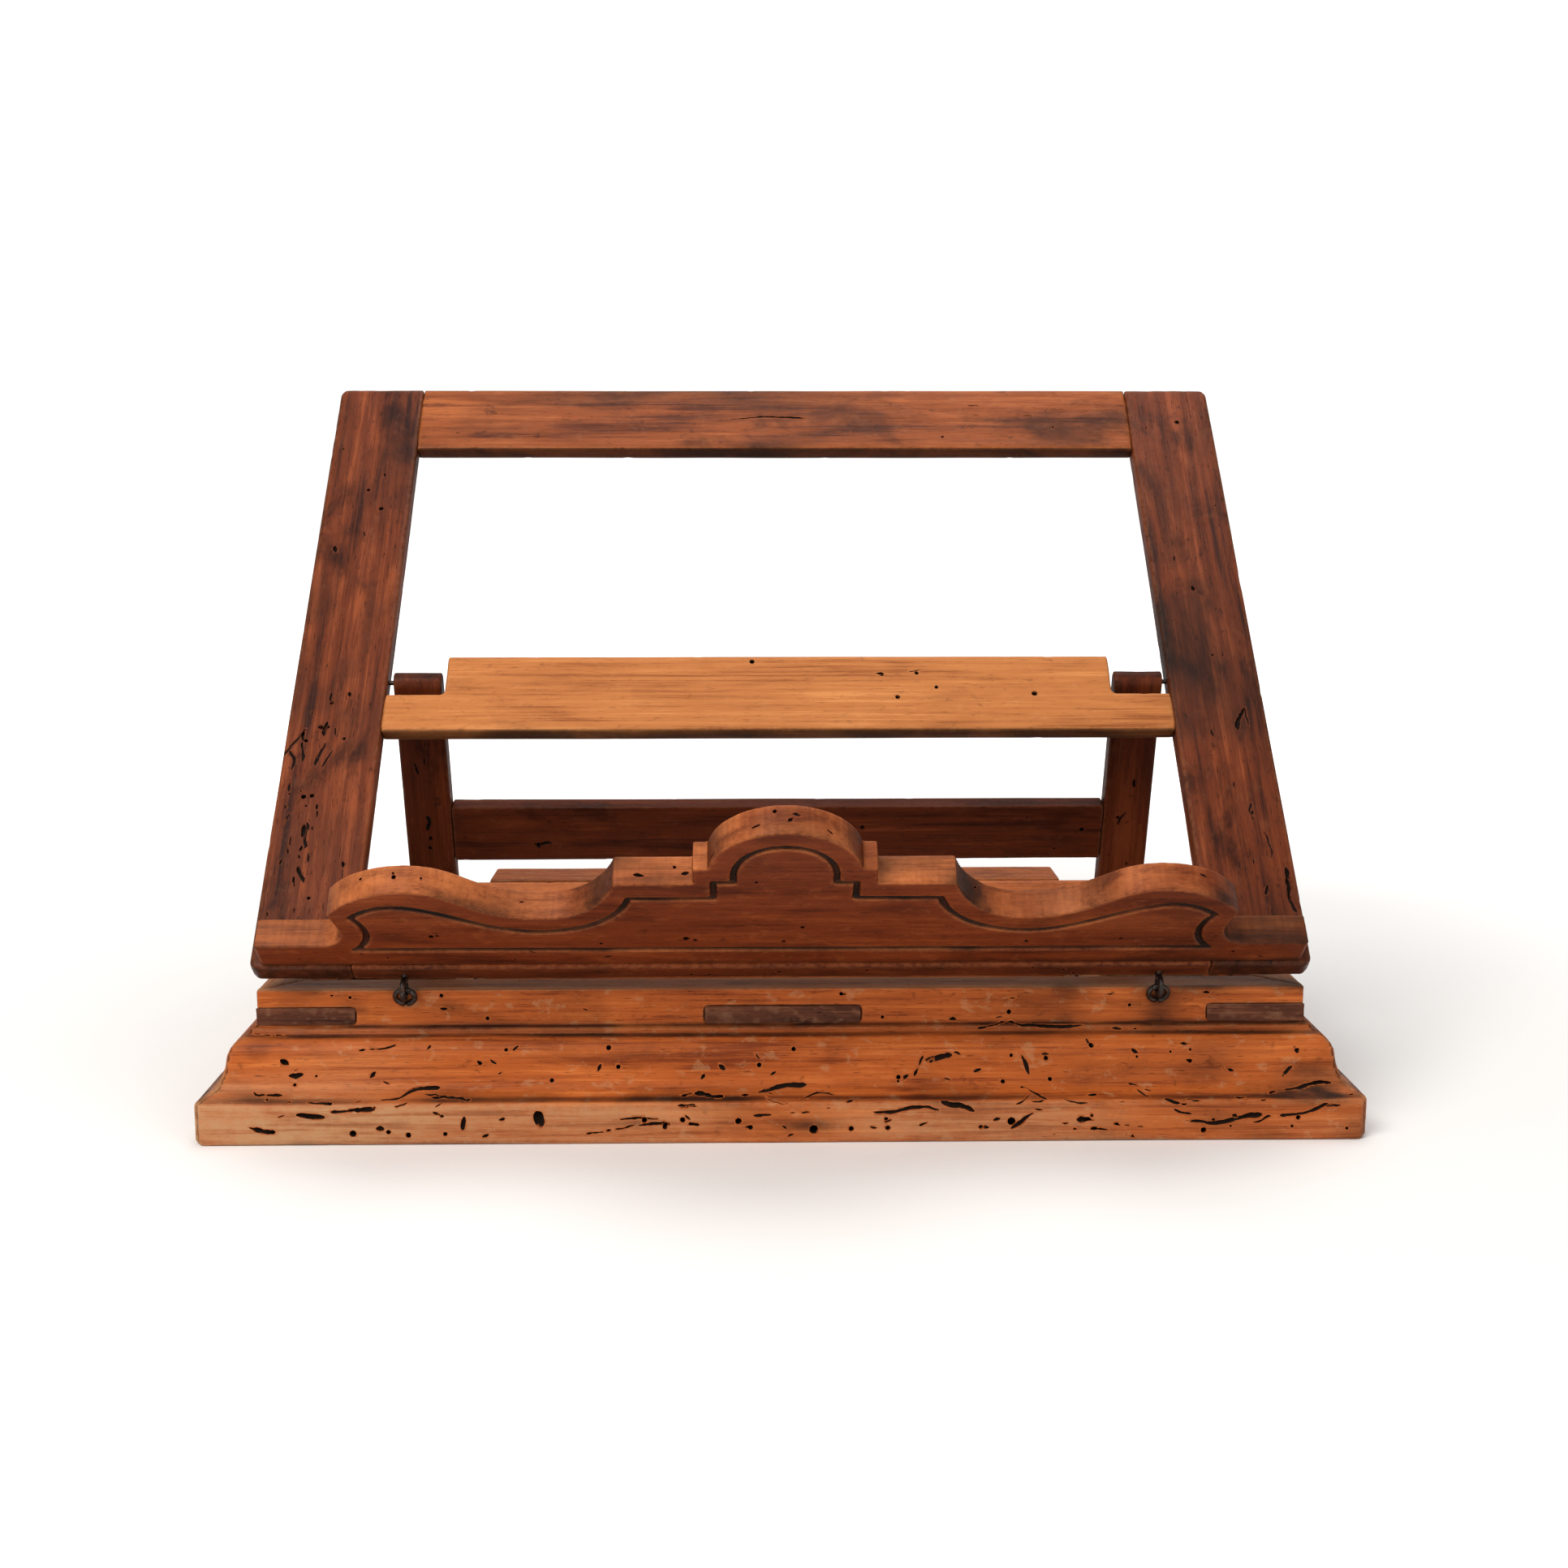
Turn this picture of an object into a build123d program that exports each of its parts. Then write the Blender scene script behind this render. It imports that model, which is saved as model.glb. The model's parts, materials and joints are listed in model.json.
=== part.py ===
from build123d import *
from math import cos, radians, sin
import os

# A table-top book stand in old walnut and pine. A reading frame with a scrolled ledge is
# hinged to the front of a moulded base, and a two-legged strut props it from behind.
#
# Frame of reference: +X to the reader's right, +Y to the back, +Z up. The origin is on the
# underside of the front rail, at mid width, below the front face of the frieze.

# Driving dimensions, in millimetres and degrees.

# Base
frieze_half = 178.0
base_height = 48.2
plinth_overhang = 18.0
rail_thickness = 15.0
base_depth = 206.0
back_rail_front = 179.0
back_rail_thickness = 26.0

# Reading frame, measured along its slope from its front edge
tilt = 46.5
frame_half = 178.3
frame_length = 271.1
stile_width = 34.0
frame_thickness = 8.0
thin_rail_thickness = 6.0
bottom_rail_width = 34.0
top_rail_start = 237.8
mid_rail_start = 97.6
mid_rail_end = 131.9
mid_rail_notch_start = 114.5
mid_rail_notch_half = 122.9

# Joint axes, both along X, as (Y, Z) at rest
hinge_y, hinge_z = -4.0, 49.4
hinge_to_frame_edge = 4.23
hinge_above_underside = 0.68
pivot_slope = 122.5
pivot_depth = 4.0

# Strut
strut_drop = 119.0
leg_inner = 124.6
leg_outer = 142.3
leg_thickness = 7.6
leg_reach = 113.0
cross_rail_start = 50.2
cross_rail_end = 73.1

# Ledge
ledge_half = 174.2
ledge_thickness = 10.8
ledge_setback = 1.0

# Ironwork
hinge_wire = 1.0
hinge_eye = 3.2
hinge_spacing_half = 127.1
pin_radius = 0.9

# Joinery clearances
running_gap = 0.05
tenon_gap = 0.1
end_gap = 0.5

os.makedirs("parts", exist_ok=True)


def point_on_slope(along, above):
    """(Y, Z) of a point in the reading frame: along the slope, above its underside."""
    edge_y = hinge_y + hinge_to_frame_edge * cos(radians(tilt)) + hinge_above_underside * sin(radians(tilt))
    edge_z = hinge_z + hinge_to_frame_edge * sin(radians(tilt)) - hinge_above_underside * cos(radians(tilt))
    return (
        edge_y + along * cos(radians(tilt)) - above * sin(radians(tilt)),
        edge_z + along * sin(radians(tilt)) + above * cos(radians(tilt)),
    )


def slope_plane(above):
    """Plane of the reading frame: local x is X, local y runs up the slope, z leaves the face."""
    y, z = point_on_slope(0, above)
    return Plane(origin=(0, y, z), x_dir=(1, 0, 0), z_dir=(0, -sin(radians(tilt)), cos(radians(tilt))))


def ledge_plane(along):
    """Plane across the slope: local x is X, local y rises off the frame, z faces the reader."""
    y, z = point_on_slope(along, frame_thickness)
    return Plane(origin=(0, y, z), x_dir=(1, 0, 0), z_dir=(0, -cos(radians(tilt)), -sin(radians(tilt))))


pivot_y, pivot_z = point_on_slope(pivot_slope, frame_thickness - pivot_depth)
strut_angle = tilt - strut_drop
strut_direction = (0, cos(radians(strut_angle)), sin(radians(strut_angle)))


def leg_plane(x):
    """Plane square to the pivot axis: local x runs down the leg from the pivot."""
    return Plane(origin=(x, pivot_y, pivot_z), x_dir=strut_direction, z_dir=(1, 0, 0))


def strut_plane(lift):
    """Mid plane of the strut moved by lift: local x is X, local y runs down the strut."""
    normal = (0, -sin(radians(strut_angle)), cos(radians(strut_angle)))
    origin = (0, pivot_y + lift * normal[1], pivot_z + lift * normal[2])
    return Plane(origin=origin, x_dir=(1, 0, 0), z_dir=normal)


def save(builder, name):
    """Labels one finished piece and writes it."""
    builder.part.label = name
    export_step(builder.part, "parts/" + name + ".step")


# --- Base -------------------------------------------------------------------------------

# Moulding section: local x is the overhang outside the frieze, local y is the height.
frieze_bottom = 36.0
bead_overhang = 2.3
bead_top = 35.4
bead_bottom = 33.2
ogee_top = (4.3, 33.0)
ogee_bulge = (7.5, 30.0)
ogee_turn = (8.8, 26.0)
ogee_hollow = (9.8, 21.6)
ogee_bottom = (12.0, 17.2)
plinth_top = 13.5

with BuildSketch() as moulding:
    with BuildLine():
        Polyline(
            (-rail_thickness, 0),
            (-rail_thickness, base_height),
            (0, base_height),
            (0, frieze_bottom),
            (bead_overhang, bead_top),
            (bead_overhang, bead_bottom),
            ogee_top,
        )
        ThreePointArc(ogee_top, ogee_bulge, ogee_turn)
        ThreePointArc(ogee_turn, ogee_hollow, ogee_bottom)
        Polyline(
            ogee_bottom,
            (plinth_overhang, plinth_top),
            (plinth_overhang, 0),
            (-rail_thickness, 0),
        )
    make_face()

# The two mitres run at 45 degrees through the frieze corners. Their cutting outlines reach past the
# rail on both faces.
cut_margin = 1.0
mitre_front = -plinth_overhang - cut_margin
mitre_back = rail_thickness + cut_margin

# The base's wire eyes lean against the frieze, with the top of each ring on the hinge axis. The
# shank at a ring's foot is driven into the frieze, and a nick in the top arris clears the frame's eye.
eye_lean = 62.5
eye_shank_radius = 0.9
eye_shank_end = 12.0
eye_foot_y = hinge_y + 2 * hinge_eye * cos(radians(eye_lean))
eye_foot_z = hinge_z - 2 * hinge_eye * sin(radians(eye_lean))
nick_width = 3.2
nick_size = 1.0

# Dark patches let into the lower half of the frieze.
patch_bottom = 36.0
patch_top = 42.0
patch_depth = 3.0
patch_inner = 144.5
patch_centre_half = 26.5

with BuildPart() as base_front_rail:
    with BuildSketch(Plane(origin=(0, 0, 0), x_dir=(0, -1, 0), z_dir=(-1, 0, 0))):
        add(moulding.sketch)
    extrude(amount=frieze_half + plinth_overhang, both=True)
    with BuildSketch(Plane.XY):
        with BuildLine():
            Polyline(
                (-frieze_half + mitre_front, mitre_front),
                (frieze_half - mitre_front, mitre_front),
                (frieze_half - mitre_back, mitre_back),
                (-frieze_half + mitre_back, mitre_back),
                (-frieze_half + mitre_front, mitre_front),
            )
        make_face()
    extrude(amount=base_height, mode=Mode.INTERSECT)
    # nicks and shank holes for the two wire eyes
    with BuildSketch(Plane.XY.offset(base_height)):
        with Locations((-hinge_spacing_half, nick_size / 2), (hinge_spacing_half, nick_size / 2)):
            Rectangle(nick_width, nick_size)
    extrude(amount=-nick_size, mode=Mode.SUBTRACT)
    with BuildSketch(Plane.XZ):
        with Locations((-hinge_spacing_half, eye_foot_z), (hinge_spacing_half, eye_foot_z)):
            Circle(eye_shank_radius)
    extrude(amount=-eye_shank_end, mode=Mode.SUBTRACT)
    # recesses for the three patches
    with BuildSketch(Plane.XY.offset(patch_bottom)):
        Rectangle(2 * patch_centre_half, 2 * patch_depth)
        with Locations((-frieze_half, 0), (frieze_half, 0)):
            Rectangle(2 * (frieze_half - patch_inner), 2 * patch_depth)
    extrude(amount=patch_top - patch_bottom, mode=Mode.SUBTRACT)
save(base_front_rail, "base_front_rail")

# Nails through the racks into the side rails.
rack_inner = 123.0
nail_places = (95.0, 134.0, 160.0)
nail_height = 17.0
nail_radius = 1.1
nail_head_radius = 2.6
nail_head_thickness = 0.8
nail_length = 50.0

# Stub tenons of the back rail in the side rails.
back_tenon_length = 9.0
back_tenon_low, back_tenon_high = 8.0, 24.0
back_tenon_cheek = 8.0
inner_half = frieze_half - rail_thickness


def back_tenon_section(gap):
    """Cross section of the back rail's tenon, as (Y, Z) lengths with its middle."""
    width = back_rail_thickness - 2 * back_tenon_cheek + 2 * gap
    height = back_tenon_high - back_tenon_low + 2 * gap
    middle = (back_rail_front + back_rail_thickness / 2, (back_tenon_low + back_tenon_high) / 2)
    return width, height, middle


def nail_outline(side, radius=nail_radius):
    """One side's nail circles on the rack's inner face."""
    with BuildSketch(Plane.YZ.offset(side * rack_inner)) as circles:
        with Locations(*[(y, nail_height) for y in nail_places]):
            Circle(radius)
    return circles.sketch


def side_rail(side):
    """Moulded side rail with its front mitre: side is +1 on the right, -1 on the left."""
    outer = side * (frieze_half - mitre_front)
    inner = side * (frieze_half - mitre_back)
    width, height, middle = back_tenon_section(tenon_gap)
    with BuildPart() as rail:
        with BuildSketch(Plane(origin=(side * frieze_half, 0, 0), x_dir=(side, 0, 0), z_dir=(0, -side, 0))):
            add(moulding.sketch)
        extrude(amount=base_depth, both=True)
        with BuildSketch(Plane.XY):
            with BuildLine():
                Polyline(
                    (outer, mitre_front),
                    (outer, base_depth),
                    (inner, base_depth),
                    (inner, mitre_back),
                    (outer, mitre_front),
                )
            make_face()
        extrude(amount=base_height, mode=Mode.INTERSECT)
        with BuildSketch(Plane.YZ.offset(side * inner_half)):
            with Locations(middle):
                Rectangle(width, height)
        extrude(amount=side * (back_tenon_length + end_gap), mode=Mode.SUBTRACT)
        extrude(nail_outline(side), amount=side * nail_length, mode=Mode.SUBTRACT)
    return rail


base_left_rail = side_rail(-1)
base_right_rail = side_rail(1)
save(base_left_rail, "base_left_rail")
save(base_right_rail, "base_right_rail")

# The back rail is notched on top so that the strut's feet pass through when it folds.
foot_slot_inner = 122.4
foot_slot_outer = 144.6
foot_slot_bottom = 28.5

with BuildPart() as base_back_rail:
    width, height, middle = back_tenon_section(0)
    with BuildSketch(Plane.XZ.offset(-back_rail_front)):
        with Locations((0, base_height / 2)):
            Rectangle(2 * inner_half, base_height)
    extrude(amount=-back_rail_thickness)
    with BuildSketch(Plane.YZ):
        with Locations(middle):
            Rectangle(width, height)
    extrude(amount=inner_half + back_tenon_length, both=True)
    with BuildSketch(Plane.XZ.offset(-back_rail_front)):
        slot_middle = (foot_slot_inner + foot_slot_outer) / 2
        with Locations((-slot_middle, base_height), (slot_middle, base_height)):
            Rectangle(foot_slot_outer - foot_slot_inner, 2 * (base_height - foot_slot_bottom))
    extrude(amount=-back_rail_thickness, mode=Mode.SUBTRACT)
save(base_back_rail, "base_back_rail")

# Racks: battens inside the side rails, with a step behind each place the feet can stand.
rack_front = 84.0
rack_bottom = 8.0
rack_front_height = 36.7
rack_fall = 9.0 / 116.0
rack_walls = (118.5, 148.5, 169.0)
rack_seat_length = 14.0
rack_seat_depth = 4.0


def rack_top(y):
    """Height of the rack's sloping top above the table at depth y."""
    return rack_front_height - rack_fall * (y - rack_front)


def rack(side):
    """Notched batten: side is +1 on the right, -1 on the left."""
    outline = [(rack_front, rack_bottom), (rack_front, rack_front_height)]
    for wall in rack_walls:
        seat_start = wall - rack_seat_length
        outline.append((seat_start, rack_top(seat_start)))
        outline.append((wall, rack_top(wall) - rack_seat_depth))
        outline.append((wall, rack_top(wall)))
    outline.append((back_rail_front, rack_top(back_rail_front)))
    outline.append((back_rail_front, rack_bottom))
    outline.append(outline[0])
    with BuildPart() as batten:
        with BuildSketch(Plane.YZ.offset(side * rack_inner)):
            with BuildLine():
                Polyline(*outline)
            make_face()
        extrude(amount=side * (inner_half - rack_inner))
        extrude(nail_outline(side), amount=side * nail_length, mode=Mode.SUBTRACT)
    return batten


left_rack = rack(-1)
right_rack = rack(1)
save(left_rack, "left_rack")
save(right_rack, "right_rack")

with BuildPart() as rack_nails:
    for side in (-1, 1):
        extrude(nail_outline(side), amount=side * nail_length)
        extrude(nail_outline(side, nail_head_radius), amount=-side * nail_head_thickness)
save(rack_nails, "rack_nails")

# Triangular glue blocks behind the front mitres.
block_leg = 22.0
block_bottom, block_top = 4.0, 34.0

with BuildPart() as corner_glue_blocks:
    with BuildSketch(Plane.XY.offset(block_bottom)):
        for side in (-1, 1):
            with BuildLine():
                Polyline(
                    (side * inner_half, rail_thickness),
                    (side * inner_half, rail_thickness + block_leg),
                    (side * (inner_half - block_leg), rail_thickness),
                    (side * inner_half, rail_thickness),
                )
            make_face()
    extrude(amount=block_top - block_bottom)
save(corner_glue_blocks, "corner_glue_blocks")

with BuildPart() as frieze_patch_centre:
    with BuildSketch(Plane.XY.offset(patch_bottom)):
        with Locations((0, patch_depth / 2)):
            Rectangle(2 * patch_centre_half, patch_depth)
    extrude(amount=patch_top - patch_bottom)
save(frieze_patch_centre, "frieze_patch_centre")


def end_patch(side):
    """Patch at one end of the frieze, cut to the mitre."""
    with BuildPart() as patch:
        with BuildSketch(Plane.XY.offset(patch_bottom)):
            with BuildLine():
                Polyline(
                    (side * patch_inner, 0),
                    (side * frieze_half, 0),
                    (side * (frieze_half - patch_depth), patch_depth),
                    (side * patch_inner, patch_depth),
                    (side * patch_inner, 0),
                )
            make_face()
        extrude(amount=patch_top - patch_bottom)
    return patch


frieze_patch_left = end_patch(-1)
frieze_patch_right = end_patch(1)
save(frieze_patch_left, "frieze_patch_left")
save(frieze_patch_right, "frieze_patch_right")

# --- Wire hinges ------------------------------------------------------------------------

# The frame's eyes stand upright around the hinge axis and link through the base's eyes.
frame_eye_rise = 13.3
frame_eye_shank_length = 13.0

with BuildPart() as base_hinge_eyes:
    for x in (-hinge_spacing_half, hinge_spacing_half):
        ring_y = hinge_y + hinge_eye * cos(radians(eye_lean))
        ring_z = hinge_z - hinge_eye * sin(radians(eye_lean))
        ring_normal = (0, sin(radians(eye_lean)), cos(radians(eye_lean)))
        with Locations(Plane(origin=(x, ring_y, ring_z), x_dir=(1, 0, 0), z_dir=ring_normal)):
            Torus(hinge_eye, hinge_wire)
        with BuildSketch(Plane.XZ.offset(-eye_foot_y)):
            with Locations((x, eye_foot_z)):
                Circle(eye_shank_radius)
        extrude(amount=eye_foot_y - eye_shank_end)
save(base_hinge_eyes, "base_hinge_eyes")


def frame_eye_shank_plane(x):
    """Plane at the root of a frame eye's shank, facing along the shank into the wood."""
    lift = radians(tilt + frame_eye_rise)
    direction = (0, cos(lift), sin(lift))
    root = (x, hinge_y + hinge_eye * direction[1], hinge_z + hinge_eye * direction[2])
    return Plane(origin=root, x_dir=(1, 0, 0), z_dir=direction)


with BuildPart() as frame_hinge_eyes:
    for x in (-hinge_spacing_half, hinge_spacing_half):
        with Locations(Plane(origin=(x, hinge_y, hinge_z), x_dir=(0, 1, 0), z_dir=(1, 0, 0))):
            Torus(hinge_eye, hinge_wire)
        with BuildSketch(frame_eye_shank_plane(x)):
            Circle(eye_shank_radius)
        extrude(amount=frame_eye_shank_length)
save(frame_hinge_eyes, "frame_hinge_eyes")

# --- Reading frame ----------------------------------------------------------------------

# Each rail's stub tenon: its start and end up the slope, its underside and top above the
# frame's underside, and its length.
bottom_tenon = (6.0, 28.0, 2.5, 5.5, 20.0)
mid_tenon = (100.0, 112.0, 3.8, 6.2, 14.0)
top_tenon = (243.0, 265.0, 3.8, 6.2, 20.0)
opening_half = frame_half - stile_width


def slope_rectangle(x_from, x_to, start, end, above):
    """Rectangle on the reading frame's slope, at a height above its underside."""
    with BuildSketch(slope_plane(above)) as outline:
        with Locations(((x_from + x_to) / 2, (start + end) / 2)):
            Rectangle(abs(x_to - x_from), end - start)
    return outline.sketch


def stile(side):
    """Full-length side member with its mortises: side is +1 on the right, -1 on the left."""
    with BuildPart() as member:
        extrude(
            slope_rectangle(side * opening_half, side * frame_half, 0, frame_length, 0),
            amount=frame_thickness,
        )
        for start, end, low, high, length in (bottom_tenon, mid_tenon, top_tenon):
            reach = side * (opening_half + length + end_gap)
            mortise = slope_rectangle(
                side * opening_half, reach, start - tenon_gap, end + tenon_gap, low - tenon_gap
            )
            extrude(mortise, amount=high - low + 2 * tenon_gap, mode=Mode.SUBTRACT)
        with BuildSketch(leg_plane(side * opening_half)):
            Circle(pin_radius)
        extrude(amount=side * pin_in_stile, mode=Mode.SUBTRACT)
    return member


pin_in_stile = 18.0
pin_in_knuckle = 14.0

left_stile = stile(-1)
right_stile = stile(1)
save(left_stile, "left_stile")
save(right_stile, "right_stile")


def add_tenons(tenon):
    """Both stub tenons of a rail, joined to the part being built."""
    start, end, low, high, length = tenon
    reach = opening_half + length
    extrude(slope_rectangle(-reach, reach, start, end, low), amount=high - low)


thin_rail_underside = frame_thickness - thin_rail_thickness

with BuildPart() as top_rail:
    extrude(
        slope_rectangle(-opening_half, opening_half, top_rail_start, frame_length, thin_rail_underside),
        amount=thin_rail_thickness,
    )
    add_tenons(top_tenon)
save(top_rail, "top_rail")

with BuildPart() as mid_rail:
    extrude(
        slope_rectangle(-opening_half, opening_half, mid_rail_start, mid_rail_notch_start, thin_rail_underside),
        amount=thin_rail_thickness,
    )
    extrude(
        slope_rectangle(
            -mid_rail_notch_half, mid_rail_notch_half, mid_rail_notch_start, mid_rail_end, thin_rail_underside
        ),
        amount=thin_rail_thickness,
    )
    add_tenons(mid_tenon)
save(mid_rail, "mid_rail")

# Dowels that stand the ledge on the bottom rail.
dowel_radius = 3.0
dowel_places = (-110.0, 0.0, 110.0)
dowel_slope = ledge_setback + ledge_thickness / 2
dowel_in_ledge = 14.0


def dowel_outline():
    """The dowels' circles on the underside of the reading frame."""
    with BuildSketch(slope_plane(0)) as circles:
        with Locations(*[(x, dowel_slope) for x in dowel_places]):
            Circle(dowel_radius)
    return circles.sketch


with BuildPart() as bottom_rail:
    extrude(slope_rectangle(-opening_half, opening_half, 0, bottom_rail_width, 0), amount=frame_thickness)
    add_tenons(bottom_tenon)
    extrude(dowel_outline(), amount=frame_thickness, mode=Mode.SUBTRACT)
    for x in (-hinge_spacing_half, hinge_spacing_half):
        with BuildSketch(frame_eye_shank_plane(x)):
            Circle(eye_shank_radius)
        extrude(amount=frame_eye_shank_length, mode=Mode.SUBTRACT)
save(bottom_rail, "bottom_rail")

with BuildPart() as ledge_dowels:
    extrude(dowel_outline(), amount=frame_thickness + dowel_in_ledge)
save(ledge_dowels, "ledge_dowels")

# Ledge outline, right half, from the top of the middle arch outwards. Heights are above the
# reading frame's face.
arch_centre = 55.4
arch_radius = 24.6
small_step = (28.9, 59.4)
flat_step = (54.0, 50.9)
dip_side = (61.2, 37.4)
dip = (78.0, 29.8)
lobe_side = (99.5, 36.3)
lobe_peak = (121.0, 46.2)
lobe_tip = (147.0, 32.2)
cove = (144.7, 19.5)
end_block = (152.5, 12.6)

# Incised line, right half: it follows the outline about 8 mm inside it.
line_width = 1.9
line_depth = 1.5
line_bottom = 9.8
line_end_foot = (141.0, 8.8)
line_end_middle = (136.0, 20.0)
line_end_top = (139.6, 30.2)
line_lobe = (124.5, 36.7)
line_lobe_side = (102.0, 28.0)
line_dip = (80.0, 21.2)
line_dip_side = (57.0, 29.5)
line_step = (49.8, 41.8)
line_riser = 22.6
line_arch_foot = 51.2
line_arch_radius = 16.2

with BuildPart() as book_ledge:
    with BuildSketch(ledge_plane(ledge_setback)):
        with BuildLine():
            arch_end_x = (arch_radius**2 - (small_step[1] - arch_centre) ** 2) ** 0.5
            RadiusArc((0, arch_centre + arch_radius), (arch_end_x, small_step[1]), arch_radius)
            Polyline(
                (arch_end_x, small_step[1]),
                small_step,
                (small_step[0], flat_step[1]),
                flat_step,
            )
            Spline(flat_step, dip_side, dip, tangents=((0.3, -1), (1, 0)))
            Spline(dip, lobe_side, lobe_peak, tangents=((1, 0), (1, 0)))
            TangentArc(lobe_peak, lobe_tip, tangent=(1, 0))
            Spline(lobe_tip, cove, end_block, tangents=((-0.3, -1), (1, -0.1)))
            Polyline(end_block, (ledge_half, end_block[1]), (ledge_half, 0), (0, 0))
            mirror(about=Plane.YZ)
        make_face()
    extrude(amount=-ledge_thickness)
    extrude(dowel_outline(), amount=frame_thickness + dowel_in_ledge, mode=Mode.SUBTRACT)
    with BuildSketch(ledge_plane(ledge_setback)):
        with BuildLine() as incised_line:
            Line((0, line_bottom), (line_end_foot[0], line_bottom))
            ThreePointArc((line_end_foot[0], line_bottom), line_end_middle, line_end_top)
            Spline(line_end_top, line_lobe, line_lobe_side, line_dip, line_dip_side, line_step)
            Polyline(
                line_step,
                (line_riser, line_step[1]),
                (line_riser, line_arch_foot),
                (line_arch_radius, line_arch_foot),
                (line_arch_radius, arch_centre),
            )
            RadiusArc((line_arch_radius, arch_centre), (0, arch_centre + line_arch_radius), -line_arch_radius)
            mirror(about=Plane.YZ)
        trace(line_width=line_width)
    extrude(amount=-line_depth, mode=Mode.SUBTRACT)
save(book_ledge, "book_ledge")

with BuildPart() as strut_pivot_pins:
    for side in (-1, 1):
        with BuildSketch(leg_plane(side * (leg_outer - pin_in_knuckle))):
            Circle(pin_radius)
        extrude(amount=side * (opening_half - leg_outer + pin_in_knuckle + pin_in_stile))
save(strut_pivot_pins, "strut_pivot_pins")

# --- Strut ------------------------------------------------------------------------------

cross_tenon_length = 12.0
cross_tenon_start, cross_tenon_end = 54.2, 69.1
cross_tenon_thickness = 3.0
peg_radius = 1.6
peg_inset = 6.0
peg_length = 6.0


def cross_tenon_outline(gap):
    """Both tenons of the cross rail, seen square to the strut."""
    with BuildSketch(strut_plane(-cross_tenon_thickness / 2 - gap)) as outline:
        with Locations((0, (cross_tenon_start + cross_tenon_end) / 2)):
            Rectangle(
                2 * (leg_inner + cross_tenon_length + gap),
                cross_tenon_end - cross_tenon_start + 2 * gap,
            )
    return outline.sketch


def peg_outline():
    """The pegs' circles on the back face of the strut."""
    with BuildSketch(strut_plane(leg_thickness / 2)) as circles:
        for x in (-leg_inner - peg_inset, leg_inner + peg_inset):
            with Locations((x, (cross_tenon_start + cross_tenon_end) / 2)):
                Circle(peg_radius)
    return circles.sketch


def leg(side):
    """Leg with a round knuckle and a round foot: side is +1 on the right, -1 on the left."""
    spacing = leg_reach - leg_thickness / 2
    with BuildPart() as member:
        with BuildSketch(leg_plane(side * leg_inner)):
            with Locations((spacing / 2, 0)):
                SlotCenterToCenter(spacing, leg_thickness)
        extrude(amount=side * (leg_outer - leg_inner))
        with BuildSketch(leg_plane(side * leg_outer)):
            Circle(pin_radius + running_gap)
        extrude(amount=-side * (pin_in_knuckle + end_gap), mode=Mode.SUBTRACT)
        extrude(cross_tenon_outline(tenon_gap), amount=cross_tenon_thickness + 2 * tenon_gap, mode=Mode.SUBTRACT)
        extrude(peg_outline(), amount=-peg_length, mode=Mode.SUBTRACT)
    return member


left_leg = leg(-1)
right_leg = leg(1)
save(left_leg, "left_leg")
save(right_leg, "right_leg")

with BuildPart() as strut_cross_rail:
    with BuildSketch(strut_plane(-leg_thickness / 2)):
        with Locations((0, (cross_rail_start + cross_rail_end) / 2)):
            Rectangle(2 * leg_inner, cross_rail_end - cross_rail_start)
    extrude(amount=leg_thickness)
    extrude(cross_tenon_outline(0), amount=cross_tenon_thickness)
    extrude(peg_outline(), amount=-peg_length, mode=Mode.SUBTRACT)
save(strut_cross_rail, "strut_cross_rail")

with BuildPart() as cross_rail_pegs:
    extrude(peg_outline(), amount=-peg_length)
save(cross_rail_pegs, "cross_rail_pegs")
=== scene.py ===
import json
import math
import random

import bpy
import numpy as np
from mathutils import Matrix, Vector
from mathutils.bvhtree import BVHTree


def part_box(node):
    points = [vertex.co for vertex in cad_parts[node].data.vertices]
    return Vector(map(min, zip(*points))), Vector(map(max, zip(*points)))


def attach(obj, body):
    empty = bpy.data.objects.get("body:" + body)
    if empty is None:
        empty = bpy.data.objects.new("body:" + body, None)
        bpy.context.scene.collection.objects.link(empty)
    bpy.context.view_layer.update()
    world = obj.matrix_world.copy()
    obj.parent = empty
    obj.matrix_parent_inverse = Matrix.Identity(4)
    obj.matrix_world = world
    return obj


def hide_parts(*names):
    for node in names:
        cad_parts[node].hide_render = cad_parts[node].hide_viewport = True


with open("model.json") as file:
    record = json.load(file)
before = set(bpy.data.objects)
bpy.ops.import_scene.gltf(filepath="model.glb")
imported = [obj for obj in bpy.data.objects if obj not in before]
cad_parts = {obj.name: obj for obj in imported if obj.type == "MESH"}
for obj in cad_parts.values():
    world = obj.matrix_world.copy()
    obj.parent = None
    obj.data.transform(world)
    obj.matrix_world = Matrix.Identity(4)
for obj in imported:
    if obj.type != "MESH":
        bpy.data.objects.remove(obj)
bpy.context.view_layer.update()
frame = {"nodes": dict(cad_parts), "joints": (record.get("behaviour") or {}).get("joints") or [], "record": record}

# An old table-top book stand. Every wooden piece is a copy of its CAD solid that has been remeshed
# finely, rounded at its arrises and made slightly uneven, and most boards are bored by woodworm. Meshes are in
# metres.
# The boards' wear is worked out in millimetres, and MM turns millimetres into metres.

MM = 0.001

# --- Where things are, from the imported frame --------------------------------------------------

body_of_node = {
    node: body for body, nodes in frame["record"]["behaviour"]["bodies"].items() for node in nodes
}
joints = {joint["name"]: joint for joint in frame["joints"]}
tilt_joint = joints["reading_frame_tilt"]
swing_joint = joints["strut_swing"]
hinge_axis = Vector(tilt_joint["pos_m"])
pivot_axis = Vector(swing_joint["pos_m"])

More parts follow.
